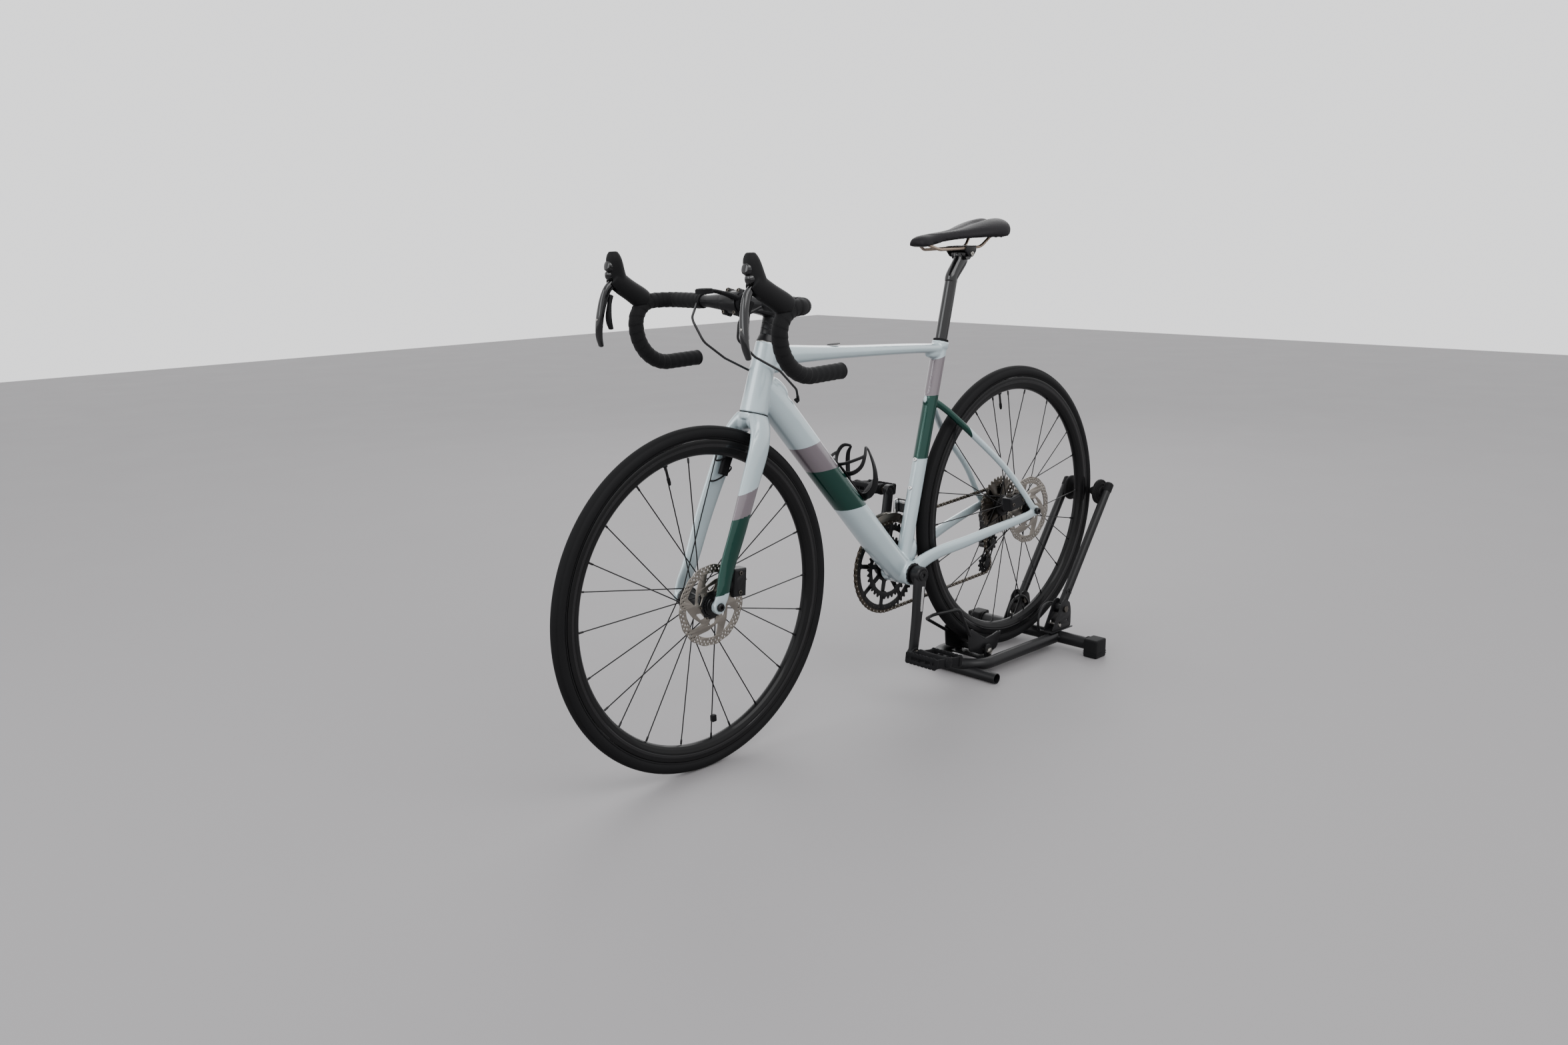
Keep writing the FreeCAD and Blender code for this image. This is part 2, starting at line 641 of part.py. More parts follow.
def make_saddle():
    wires = [
        saddle_section(-60, 12, 722, 709, 12), saddle_section(-68, 19, 727, 706, 19),
        saddle_section(-100, 21.5, 730, 707, 21), saddle_section(-135, 24, 732, 713, 17),
        saddle_section(-170, 30, 734, 716, 15), saddle_section(-215, 45, 739, 716, 15),
        saddle_section(-250, 60, 746, 715, 15), saddle_section(-285, 69, 753, 714, 15),
        saddle_section(-312, 66, 757, 719, 15), saddle_section(-327, 53, 757, 730, 14),
        saddle_section(-333, 41, 755, 738, 12)]
    body = Part.makeLoft(wires, True, False)
    for side in BOTH_SIDES:
        body = body.cut(on_side(side, piped(bent_wire(RAIL_POINTS, [30, 90, 30]), RAIL_RADIUS + 0.02)))
    publish("saddle", formed(body), ON_BIKE)


# ---------------------------------------------------------------- fork and cockpit
def make_fork():
    legs = []
    for side in BOTH_SIDES:
        legs.append(tube([
            (Vector(424, side * 10, 410), 15, 26), (Vector(436, side * 28, 392), 15, 25),
            (Vector(452, side * 42, 362), 11, 25), (Vector(471, side * 47, 325), 9.5, 24),
            (Vector(496, side * 50, 275), 9, 22), (Vector(536, side * 53, 190), 8, 20),
            (Vector(569, side * 55, 118), 7.5, 17.5), (FRONT_DROPOUT + Vector(1, side * 56, 0), 6, 14)]))
        legs.append(Part.makeCylinder(14, 11, FRONT_DROPOUT + Vector(0, side * 56 - 5.5, 0), Vector(0,
                1, 0)))
    crown_low = HEAD_LOW - STEER_UP * 14
    crown = Part.makeCone(26, number(HEAD_LOW_RADIUS), 13, crown_low, STEER_UP)
    steerer = Part.makeCylinder(number(STEERER_RADIUS), number(HEAD_LENGTH) + 103,
            HEAD_LOW - STEER_UP * 10, STEER_UP)
    whole = joined_shape([crown, steerer] + legs)
    wheel = Part.makeCylinder(number(TYRE_RADIUS) + 7, 44, FRONT_DROPOUT - Vector(0, 22, 0), Vector(0,
            1, 0))
    hub = Part.makeCylinder(24, number(FRONT_SPACING), FRONT_DROPOUT - Vector(0, 50, 0), Vector(0, 1, 0))
    disc = Part.makeCylinder(84, 10, FRONT_DROPOUT + Vector(0, 31, 0), Vector(0, 1, 0))
    axle = Part.makeCylinder(number(AXLE_RADIUS), 200, FRONT_DROPOUT - Vector(0, 100, 0), Vector(0, 1, 0))
    head = Part.makeCylinder(8, 10, FRONT_DROPOUT + Vector(0, 60, 0), Vector(0, 1, 0))
    above = Part.makeCylinder(80, 60, HEAD_LOW - STEER_UP * 1, STEER_UP)
    above = above.cut(Part.makeCylinder(number(STEERER_RADIUS), 60, HEAD_LOW - STEER_UP * 1, STEER_UP))
    publish("fork", formed(carved(whole, wheel, hub, disc, axle, head, above)), ON_BIKE)


STEM_LOW = 48.0
STEM_HIGH = 88.0
STEM_MIDDLE = HEAD_TOP + STEER_UP * 68
BAR = Vector(462, 0, 632)


def make_spacers():
    cover = cone(HEAD_TOP + STEER_UP * 0.6, STEER_UP, HEAD_TOP_RADIUS, 17.5, 14)
    rings = rod(HEAD_TOP + STEER_UP * 14.6, STEER_UP, 17.5, STEM_LOW - 14.6)
    hole = rod(HEAD_TOP, STEER_UP, STEERER_RADIUS, 100)
    publish("headset_spacers", trimmed(fused(cover, rings), hole), ON_BIKE)


def make_stem():
    """Clamps on the steerer and the bar with a neck between them, and the cap on top of the steerer."""
    clamp = Part.makeCylinder(18.5, STEM_HIGH - STEM_LOW, HEAD_TOP + STEER_UP * STEM_LOW, STEER_UP)
    neck = tube([(STEM_MIDDLE + Vector(4, 0, 1), 17, 18), (STEM_MIDDLE + Vector(50, 0, 10), 15, 15),
            (BAR, 19, 18)])
    face = Part.makeCylinder(21, 46, BAR - Vector(0, 23, 0), Vector(0, 1, 0))
    whole = joined_shape([clamp, neck, face])
    steerer = Part.makeCylinder(number(STEERER_RADIUS), 200, HEAD_TOP - STEER_UP * 40, STEER_UP)
    bar = Part.makeCylinder(number(BAR_CLAMP_RADIUS), 80, BAR - Vector(0, 40, 0), Vector(0, 1, 0))
    whole = whole.cut(steerer).cut(bar)
    lid = Part.makeCylinder(18.5, 5, HEAD_TOP + STEER_UP * (STEM_HIGH + 5), STEER_UP)
    plug = Part.makeCylinder(14.2, 6, HEAD_TOP + STEER_UP * STEM_HIGH, STEER_UP)
    publish("stem", formed(joined_shape([whole, lid.fuse(plug).cut(steerer)])), ON_BIKE)


def bar_route():
    """Half of the drop bar's centre line, from the middle to the end of the left drop."""
    half = number(BAR_HALF_WIDTH)
    top = Vector(BAR.x, 0, BAR.z)
    outer = Vector(BAR.x, half, BAR.z)
    hook = Vector(BAR.x + 80, half, BAR.z)
    low = Vector(BAR.x + 80, half, BAR.z - 124)
    end = Vector(BAR.x - 74, half, BAR.z - 124)
    return bent_wire([top, outer, hook, low, end], [34, 44, 78])


def make_handlebar():
    half = piped(bar_route(), BAR_RADIUS)
    swell = Part.makeCylinder(number(BAR_CLAMP_RADIUS), 64, BAR - Vector(0, 32, 0), Vector(0, 1, 0))
    tapers = []
    for side in BOTH_SIDES:
        start = BAR + Vector(0, side * 32, 0)
        tapers.append(Part.makeCone(number(BAR_CLAMP_RADIUS), number(BAR_RADIUS), 40, start, Vector(0,
                side, 0)))
    publish("handlebar", formed(joined_shape([half, mirrored(half), swell] + tapers)), ON_BIKE)
    make_tape()


def make_tape():
    outer = piped(bar_route(), TAPE_RADIUS)
    inner = piped(bar_route(), BAR_RADIUS)
    middle = Part.makeBox(60, 96 * 2, 60, BAR + Vector(-30, -96, -30))
    half = outer.cut(inner).cut(middle)
    bar_end = Vector(BAR.x - 77, number(BAR_HALF_WIDTH), BAR.z - 124)
    half = half.fuse(Part.makeCylinder(number(TAPE_RADIUS), 3, bar_end, Vector(1, 0, 0)))
    publish("bar_tape", formed(Part.makeCompound([half, mirrored(half)])), ON_BIKE)


HOOD_Y = 203.0


def make_hoods():
    y = HOOD_Y
    body = tube([
        (Vector(519, y, 634), 17, 20), (Vector(536, y - 1, 645), 17, 21), (Vector(560, y - 3, 660), 16, 20),
        (Vector(580, y - 5, 673), 16, 20.5), (Vector(596, y - 6, 686), 15, 18)])
    peak = tube([
        (Vector(580, y - 5, 672), 15, 19), (Vector(588, y - 7, 694), 15.5, 18.5),
        (Vector(592, y - 9, 712), 15, 17), (Vector(594, y - 10, 725), 12.5, 13.5),
        (Vector(594, y - 10, 733), 7.5, 8)])
    whole = joined_shape([body, peak]).cut(piped(bar_route(), TAPE_RADIUS))
    slot = Part.makeBox(40, 14, 60, Vector(584, y - 13, 628))
    pin = Part.makeCylinder(LEVER_PIN, 20, LEVER_PIVOT - Vector(0, 10, 0), Vector(0, 1, 0))
    whole = whole.cut(slot).fuse(pin)
    publish("brake_hoods", formed(Part.makeCompound([whole, mirrored(whole)])), ON_BIKE)


LEVER_PIVOT = Vector(592, 197, 676)
LEVER_PIN = 2.0
PIN_GAP = 0.3


def make_levers():
    """A brake blade in each hood's slot, with a shift paddle behind it."""
    y = LEVER_PIVOT.y
    blade = tube([
        (LEVER_PIVOT, 5.5, 8), (Vector(608, y + 1, 664), 5.5, 8), (Vector(622, y + 4, 640), 6, 6.5),
        (Vector(630, y + 8, 606), 7, 5), (Vector(631, y + 11, 578), 7, 4.5), (Vector(624, y + 13, 556),
                6, 4)])
    paddle = tube([
        (Vector(601, y + 2, 650), 4, 5), (Vector(609, y - 1, 632), 5, 4), (Vector(614, y - 4, 610), 9, 3.5),
        (Vector(612, y - 5, 590), 8, 3)])
    eye = Part.makeCylinder(5.5, 11, LEVER_PIVOT - Vector(0, 5.5, 0), Vector(0, 1, 0))
    bore = Part.makeCylinder(LEVER_PIN + PIN_GAP, 30, LEVER_PIVOT - Vector(0, 15, 0), Vector(0, 1, 0))
    blade = joined_shape([blade, eye]).cut(bore)
    for side, word in ((1, "left"), (-1, "right")):
        publish(f"brake_lever_{word}", formed(on_side(side, blade)), ON_BIKE)
        publish(f"shift_paddle_{word}", formed(on_side(side, paddle)), ON_BIKE)


def make_mount():
    """Out-front arm and disc for a bicycle computer."""
    arm = tube([(BAR + Vector(16, 14, 10), 5, 4), (BAR + Vector(42, 10, 22), 6, 4), (BAR + Vector(66, 0,
            27), 12, 4)])
    disc = Part.makeCylinder(17, 8, BAR + Vector(74, 0, 22), Vector(0, 0, 1))
    band = Part.makeCylinder(19.4, 9, BAR + Vector(0, 24, 0), Vector(0, 1, 0))
    band = band.cut(Part.makeCylinder(number(BAR_CLAMP_RADIUS), 20, BAR + Vector(0, 20, 0), Vector(0, 1,
            0)))
    link = tube([(BAR + Vector(14, 28, 8), 4, 5), (BAR + Vector(30, 22, 17), 5, 4), (BAR + Vector(44,
            10, 22), 5, 4)])
    bar = Part.makeCylinder(number(BAR_CLAMP_RADIUS), 64, BAR - Vector(0, 32, 0), Vector(0, 1, 0))
    stem = Part.makeCylinder(21, 46, BAR - Vector(0, 23, 0), Vector(0, 1, 0))
    publish("computer_mount", formed(joined_shape([arm, disc, band, link]).cut(bar).cut(stem)), ON_BIKE)


def make_sensor():
    """Speed sensor strapped inside the right fork leg."""
    body = Part.makeBox(20, 10, 42, Vector(-10, -5, -21))
    body = body.makeFillet(3, [edge for edge in body.Edges if edge.Length > 19.9])
    body.Placement = Placement(Vector(476, -32, 318), Rotation(Vector(0, 1, 0), -24))
    fork = subparts["fork"].Shape.copy()
    fork.Placement = Placement()
    publish("speed_sensor", formed(largest(carved(body, fork))), ON_BIKE)


# ---------------------------------------------------------------- brakes
FRONT_CALIPER_ANGLE = 152
REAR_CALIPER_ANGLE = 27
FRONT_CALIPER_LEAN = 96
REAR_CALIPER_LEAN = -8
PAD_THICK = 3.6
PAD_GAP = 0.4


def caliper(axle, y, degrees, lean, neighbour):
    """A caliper body round the disc's edge, cleared for the disc, its pads and the frame beside it."""
    body = Part.makeBox(56, 28, 32, Vector(-28, -11, -15))
    body = body.makeFillet(5, [edge for edge in body.Edges if edge.Length > 29.9])
    body.Placement = Placement(polar(axle, 70, degrees) + Vector(0, y, 0), Rotation(Vector(0, 1, 0), -lean))
    half_slot = number(ROTOR_THICK) / 2 + PAD_GAP + PAD_THICK
    slot = Part.makeCylinder(number(ROTOR_RADIUS) + 2.5, 2 * half_slot, axle + Vector(0, y - half_slot,
            0), Vector(0, 1, 0))
    local = subparts[neighbour].Shape.copy()
    local.Placement = Placement()
    return largest(carved(body, slot, local))


def pads(axle, y, degrees):
    """Two friction pads, one each side of the disc."""
    near = number(ROTOR_THICK) / 2 + PAD_GAP
    both = []
    for start in (near, -near - PAD_THICK):
        pad = Part.makeBox(26, PAD_THICK, 17, Vector(-13, start, -9))
        pad.Placement = Placement(polar(axle, 70, degrees) + Vector(0, y, 0), Rotation(Vector(0, 1, 0),
                90 - degrees))
        both.append(pad)
    return formed(Part.makeCompound(both))


def make_brakes():
    front = caliper(FRONT_DROPOUT, FRONT_ROTOR_Y, FRONT_CALIPER_ANGLE, FRONT_CALIPER_LEAN, "fork")
    rear = caliper(REAR_DROPOUT, REAR_ROTOR_Y, REAR_CALIPER_ANGLE, REAR_CALIPER_LEAN, "frame_rear_triangle")
    publish("front_caliper", formed(front), ON_BIKE)
    publish("rear_caliper", formed(rear), ON_BIKE)
    publish("front_pads", pads(FRONT_DROPOUT, FRONT_ROTOR_Y, FRONT_CALIPER_ANGLE), ON_BIKE)
    publish("rear_pads", pads(REAR_DROPOUT, REAR_ROTOR_Y, REAR_CALIPER_ANGLE), ON_BIKE)


# ---------------------------------------------------------------- drivetrain
def pitch_radius(teeth):
    return number(CHAIN_PITCH) / (2 * math.sin(math.pi / float(teeth)))


RING_RADIUS = pitch_radius(RING_TEETH)
INNER_RING_RADIUS = pitch_radius(INNER_RING_TEETH)
COG_RADIUS = pitch_radius(COG_TEETH)
PULLEY_RADIUS = pitch_radius(PULLEY_TEETH)
ROOT = 4.2
CHAIN_Y = -number(CHAIN_LINE)
GUIDE = REAR_DROPOUT + Vector(14, 0, -93)
TENSION = REAR_DROPOUT + Vector(40, 0, -144)
COGS = (34, 30, 27, 24, 21, 19, 17, 15, 13, 12, 11)
COG_STEP = 3.75
CHAIN_WIDTH = 5.2
RIDDEN = COGS.index(int(number(COG_TEETH)))


def make_cranks():
    """Both arms on one spindle. Drawn with the left arm along +X."""
    length = number(CRANK_LENGTH)
    parts = [Part.makeCylinder(number(SPINDLE_RADIUS), 118, Vector(0, -59, 0), Vector(0, 1, 0))]
    for side in BOTH_SIDES:
        arm = tube([
            (Vector(0, side * 57, 0), 8, 19), (Vector(side * 30, side * 60, 0), 8, 17),
            (Vector(side * 90, side * 64, 0), 7.5, 14), (Vector(side * 150, side * 67, 0), 7, 13),
            (Vector(side * (length + 2), side * 68, 0), 6.5, 13)], 2.6)
        eye = Part.makeCylinder(13.5, 13, Vector(side * length, side * 68 - 6.5, 0), Vector(0, 1, 0))
        boss = Part.makeCylinder(19, 18, Vector(0, side * 50.5 - 9, 0), Vector(0, 1, 0))
        parts += [arm, eye, boss]
    for index in range(4):
        angle = math.radians(45 + 90 * index)
        end = Vector(62 * math.cos(angle), CHAIN_Y - 4.5, 62 * math.sin(angle))
        parts.append(tube([(Vector(0, CHAIN_Y - 8, 0), 4, 13), (end, 2.2, 9)]))
    whole = joined_shape(parts)
    for side in BOTH_SIDES:
        hole = Part.makeCylinder(7.05, 40, Vector(side * length, side * 68 - 20, 0), Vector(0, 1, 0))
        whole = whole.cut(hole)
    rings = ring_pair()
    publish("crank_arms", formed(whole.cut(rings)), ON_CRANK)
    publish("chainrings", formed(rings), ON_CRANK)


def washer(y, thick, outer, inner):
    disc = Part.makeCylinder(outer, thick, Vector(0, y - thick / 2, 0), Vector(0, 1, 0))
    return disc.cut(Part.makeCylinder(inner, thick * 2, Vector(0, y - thick, 0), Vector(0, 1, 0)))


def ring_pair():
    """The big and small rings, joined by four posts."""
    big = washer(CHAIN_Y, 2.4, RING_RADIUS - ROOT, 56)
    small = washer(CHAIN_Y + 8, 2.4, INNER_RING_RADIUS - ROOT, 50)
    posts = []
    for index in range(4):
        base = polar(Vector(0, CHAIN_Y + 0.6, 0), 59.5, 45 + 90 * index)
        posts.append(Part.makeCylinder(4.5, 7.2, base, Vector(0, 1, 0)))
    return joined_shape([big, small] + posts)


def make_pedals():
    """Caged platform pedals, drawn about their own axles."""
    length = number(CRANK_LENGTH)
    for side, word in ((1, "left"), (-1, "right")):
        axle = Part.makeCylinder(7, 34, Vector(0, side * 78.4 - 17, 0), Vector(0, 1, 0))
        body = Part.makeCylinder(13, 84, Vector(0, side * 128 - 42, 0), Vector(0, 1, 0))
        plates = []
        for x in (-44, 44):
            plates.append(Part.makeBox(8, 84, 24, Vector(x - 4, side * 128 - 42, -12)))
        for y in (90, 132, 166):
            plates.append(Part.makeBox(92, 6, 22, Vector(-46, side * y - 3, -11)))
        pedal = joined_shape([axle, body] + plates)
        middle = ON_CRANK.multVec(Vector(side * length, 0, 0))
        publish(f"pedal_{word}", formed(pedal), Placement(middle, Rotation(Vector(0, 1, 0), -8)))


def make_cassette():
    """Eleven stepped cogs on a driver body, bored for the through axle."""
    rings = []
    for index, teeth in enumerate(COGS):
        y = CHAIN_Y + (RIDDEN - index) * COG_STEP
        rings.append(washer(y, 1.8, pitch_radius(teeth) - ROOT, 15))
    low = CHAIN_Y + (RIDDEN - len(COGS) + 1) * COG_STEP - 3
    high = -26.8
    end = 0.4 - number(REAR_SPACING) / 2
    driver = Part.makeCylinder(16, high - low, Vector(0, low, 0), Vector(0, 1, 0))
    collar = Part.makeCylinder(10, low - end, Vector(0, end, 0), Vector(0, 1, 0))
    carrier = Part.makeCylinder(22, 30, Vector(0, high - 34, 0), Vector(0, 1, 0))
    bore_radius = number(AXLE_RADIUS) + number(RUNNING_GAP)
    bore = Part.makeCylinder(bore_radius, 100, Vector(0, -90, 0), Vector(0, 1, 0))
    publish("cassette", formed(joined_shape(rings + [driver, collar, carrier]).cut(bore)), ON_REAR_AXLE)


def tangent(first, second):
    """The straight run between two circles (centre, radius, sense), touching each on its travelling side."""
    (start, start_radius, start_sense), (end, end_radius, end_sense) = first, second
    run = end - start
    angle = math.atan2(run.z, run.x)
    swing = math.asin((start_radius * start_sense - end_radius * end_sense) / run.Length)
    normal = angle + swing - math.pi / 2
    unit = Vector(math.cos(normal), 0, math.sin(normal))
    return start + unit * (start_radius * start_sense), end + unit * (end_radius * end_sense)


def chain_loop(offset):
    """The chain's closed side outline, `offset` outside its pitch line."""
    wheels = [(Vector(), RING_RADIUS, 1), (REAR_DROPOUT, COG_RADIUS, 1), (GUIDE, PULLEY_RADIUS, -1),
              (TENSION, PULLEY_RADIUS, 1)]
    wheels = [(centre, radius + offset * sense, sense) for centre, radius, sense in wheels]
    runs = [tangent(wheels[index], wheels[(index + 1) % 4]) for index in range(4)]
    edges = []
    for index in range(4):
        centre, radius, sense = wheels[index]
        arrive = runs[index - 1][1]
        leave = runs[index][0]
        first = math.atan2(arrive.z - centre.z, arrive.x - centre.x)
        last = math.atan2(leave.z - centre.z, leave.x - centre.x)
        while (last - first) * sense < 0:
            last += 2 * math.pi * sense
        middle = (first + last) / 2
        top = centre + Vector(math.cos(middle), 0, math.sin(middle)) * radius
        edges.append(Part.Arc(arrive, top, leave).toShape())
        edges.append(Part.LineSegment(*runs[index]).toShape())
    return Part.Wire(edges)


def make_chain():
    half = number(CHAIN_HALF)
    outer = Part.Face(chain_loop(half))
    inner = Part.Face(chain_loop(-half))
    band = outer.cut(inner)
    solid = band.Faces[0].extrude(Vector(0, -CHAIN_WIDTH, 0))
    solid.translate(Vector(0, CHAIN_Y + CHAIN_WIDTH / 2, 0))
    publish("chain", formed(solid), ON_BIKE)


def plate_between(first, second, y, thick, radius):
    """A flat link with round ends, square to Y."""
    run = second - first
    pieces = [Part.makeCylinder(radius, thick, point + Vector(0, y, 0), Vector(0, 1,
            0)) for point in (first, second)]
    bar = Part.makeBox(run.Length, thick, radius * 2, Vector(0, 0, -radius))
    angle = math.degrees(math.atan2(run.z, run.x))
    bar.Placement = Placement(first + Vector(0, y, 0), Rotation(Vector(0, 1, 0), -angle))
    return joined_shape(pieces + [bar])


LINK_TOP = Vector(GUIDE.x - 6, -68, GUIDE.z + 40)
LINK_LOW = Vector(GUIDE.x - 6, -86, GUIDE.z + 8)
LINK_SHIFT = Vector(0, 15, -3)
LINK_LENGTH = 30.0


def link_bar(top, low, thick, length):
    """A link that turns about a fore-and-aft pin at its top and carries one at its foot."""
    run = low - top
    bar = Part.makeBox(length - 10, thick, run.Length, Vector(-(length - 10) / 2, -thick / 2, 0))
    bar.Placement = Placement(top, turned_to_keep_x(run))
    ends = []
    for point in (top, low):
        ends.append(Part.makeCylinder(4.2, length - 10, point - Vector((length - 10) / 2, 0, 0),
                Vector(1, 0, 0)))
    return joined_shape([bar] + ends)


def turned_to_keep_x(run):
    angle = math.degrees(math.atan2(-run.y, run.z))
    return Rotation(Vector(1, 0, 0), angle)


def make_rear_derailleur():
    """Hanger and upper body with two fixed pins, the two links between them, and what they carry."""
    length = LINK_LENGTH
    hanger = Part.makeBox(16, 6, 46, REAR_DROPOUT + Vector(-6, -82, -44))
    body = Part.makeCylinder(11, 18, REAR_DROPOUT + Vector(2, -84, -33), Vector(0, 1, 0))
    pins = []
    ears = []
    for shift in (Vector(), LINK_SHIFT):
        top = LINK_TOP + shift
        pins.append(Part.makeCylinder(2, length, top - Vector(length / 2, 0, 0), Vector(1, 0, 0)))
    for x in (-length / 2, length / 2 - 4.6):
        ear = Part.makeBox(4.6, 26, 14, LINK_TOP + Vector(x, -5, -6))
        ears.append(ear)
    bridge = Part.makeBox(length, 22, 5, LINK_TOP + Vector(-length / 2, -5, 6))
    arm = Part.makeBox(20, 14, 22, LINK_TOP + Vector(-length / 2 - 2, -16, 5))
    knuckle = joined_shape([hanger, body, bridge, arm] + pins + ears)
    axle = Part.makeCylinder(number(AXLE_RADIUS) + 4, 200, REAR_DROPOUT - Vector(0, 100, 0), Vector(0,
            1, 0))
    triangle = subparts["frame_rear_triangle"].Shape.copy()
    triangle.Placement = Placement()
    knuckle = knuckle.cut(axle).cut(triangle)
    publish("rd_b_knuckle", formed(knuckle), ON_BIKE)
    for name, shift in (("rd_outer_link", Vector()), ("rd_inner_link", LINK_SHIFT)):
        link = link_bar(LINK_TOP + shift, LINK_LOW + shift, 4, length)
        for point in (LINK_TOP, LINK_LOW):
            link = link.cut(Part.makeCylinder(2 + PIN_GAP, 80, point + shift - Vector(40, 0, 0),
                    Vector(1, 0, 0)))
        publish(name, formed(link), ON_BIKE)
    make_p_knuckle(length)
    make_cage()


CAGE_GAP = 6.0


def make_p_knuckle(length):
    """Lower body of the linkage, with the pins its links turn on and the barrel beside the pulley cage."""
    pins = []
    for shift in (Vector(), LINK_SHIFT):
        pins.append(Part.makeCylinder(2, length, LINK_LOW + shift - Vector(length / 2, 0, 0), Vector(1,
                0, 0)))
    ears = []
    for x in (-length / 2, length / 2 - 4.6):
        ears.append(Part.makeBox(4.6, 26, 12, LINK_LOW + Vector(x, -5, -8)))
    bridge = Part.makeBox(length, 26, 5, LINK_LOW + Vector(-length / 2, -5, -12.5))
    barrel = Part.makeCylinder(9, 22, GUIDE + Vector(0, CHAIN_Y - 31.5, -10), Vector(0, 1, 0))
    whole = joined_shape([bridge, barrel] + pins + ears)
    publish("rd_p_knuckle", formed(whole), ON_BIKE)


def make_cage():
    """Two plates that hold the pulleys; the pulleys turn on pins between them."""
    outer = plate_between(GUIDE, TENSION, CHAIN_Y - CAGE_GAP - 2.4, 2.0, 10)
    inner = plate_between(GUIDE, TENSION, CHAIN_Y + CAGE_GAP, 2.0, 8)
    pins = [Part.makeCylinder(3, 2 * CAGE_GAP + 1, point + Vector(0, CHAIN_Y - CAGE_GAP - 0.6, 0),
            Vector(0, 1, 0))
            for point in (GUIDE, TENSION)]
    publish("rd_cage", formed(joined_shape([outer, inner] + pins)), ON_BIKE)
    for name, centre in (("rd_guide_pulley", GUIDE), ("rd_tension_pulley", TENSION)):
        wheel = washer(CHAIN_Y, 2.6, PULLEY_RADIUS - ROOT, 3.06)
        hub = washer(CHAIN_Y, 9, 7, 3.06)
        place = ON_BIKE.multiply(Placement(centre, Rotation()))
        publish(name, formed(wheel.fuse(hub).removeSplitter()), place)


FD_PIVOT = Vector(-40, -43, 148)


def make_front_derailleur():
    """A mount on the seat tube, and a cage of two plates over the chain."""
    arm = Part.makeBox(20, 34, 32, Vector(-63, -46, 121))
    band = Part.makeBox(16, 14, 44, Vector(-67, -26, 112))
    pin = Part.makeCylinder(2, 12, FD_PIVOT - Vector(8, 0, 0), Vector(1, 0, 0))
    mount = joined_shape([arm, band, pin])
    triangle = subparts["frame_front_triangle"].Shape.copy()
    triangle.Placement = Placement()
    mount = largest(mount.cut(triangle))
    publish("fd_mount", formed(mount), ON_BIKE)
    outer_y = CHAIN_Y - 9
    inner_y = CHAIN_Y + 6.6
    pieces = []
    for y in (outer_y, inner_y):
        pieces.append(arc_plate(RING_RADIUS + 8, RING_RADIUS + 24, 62, 112, y, 1.8))
        pieces.append(arc_plate(RING_RADIUS + 6, RING_RADIUS + 22, 111, 127, y, 1.8))
    span = inner_y + 1.8 - outer_y
    pieces.append(arc_plate(RING_RADIUS + 20, RING_RADIUS + 24, 96, 106, outer_y, span))
    pieces.append(arc_plate(RING_RADIUS + 6, RING_RADIUS + 10, 124, 127, outer_y, span))
    pieces.append(Part.makeBox(12, 6, 34, Vector(-42, -46, 119)))
    bore = Part.makeCylinder(2 + PIN_GAP, 30, FD_PIVOT - Vector(15, 0, 0), Vector(1, 0, 0))
    publish("fd_cage", formed(joined_shape(pieces).cut(bore)), ON_BIKE)


def arc_plate(inner, outer, first, last, y, thick):
    """Part of a flat ring about the crank axis, between two angles in degrees."""
    ring = []
    for radius in (inner, outer):
        ends = [polar(Vector(), radius, angle) for angle in (first, (first + last) / 2, last)]
        ring.append(ends)
    low, high = ring
    edges = [
        Part.Arc(*low).toShape(), Part.LineSegment(low[2], high[2]).toShape(),
        Part.Arc(*reversed(high)).toShape(), Part.LineSegment(high[0], low[0]).toShape()]
    solid = Part.Face(Part.Wire(edges)).extrude(Vector(0, thick, 0))
    solid.translate(Vector(0, y, 0))
    return solid


def make_drivetrain():
    make_cranks()
    make_pedals()
    make_cassette()
    make_chain()
    make_rear_derailleur()
    make_front_derailleur()


# ---------------------------------------------------------------- control cables
def make_cables():
    """Hoses and housings between the levers, the frame and the brakes, held all the way."""
    left = [Vector(478, 92, 628), Vector(512, 66, 608), Vector(500, 46, 568), Vector(452, 40, 530),
            Vector(385, 36, 496), Vector(330, 24, 452), Vector(317, 15, 426)]
    right = [Vector(478, -92, 628), Vector(516, -64, 604), Vector(506, -44, 560), Vector(458, -40, 524),
             Vector(392, -36, 490), Vector(336, -24, 450), Vector(318, -15, 426)]
    solids = [piped(bent_wire(route, [18, 24, 40, 50, 24]), 2.5) for route in (left, right)]
    publish("control_cables", formed(Part.makeCompound(solids)), ON_BIKE)


# ---------------------------------------------------------------- stand
REAR_TUBE_X = -120.0
TUBE_HEIGHT = 28.0
CRADLE_PIVOT = Vector(132, 0, 44)


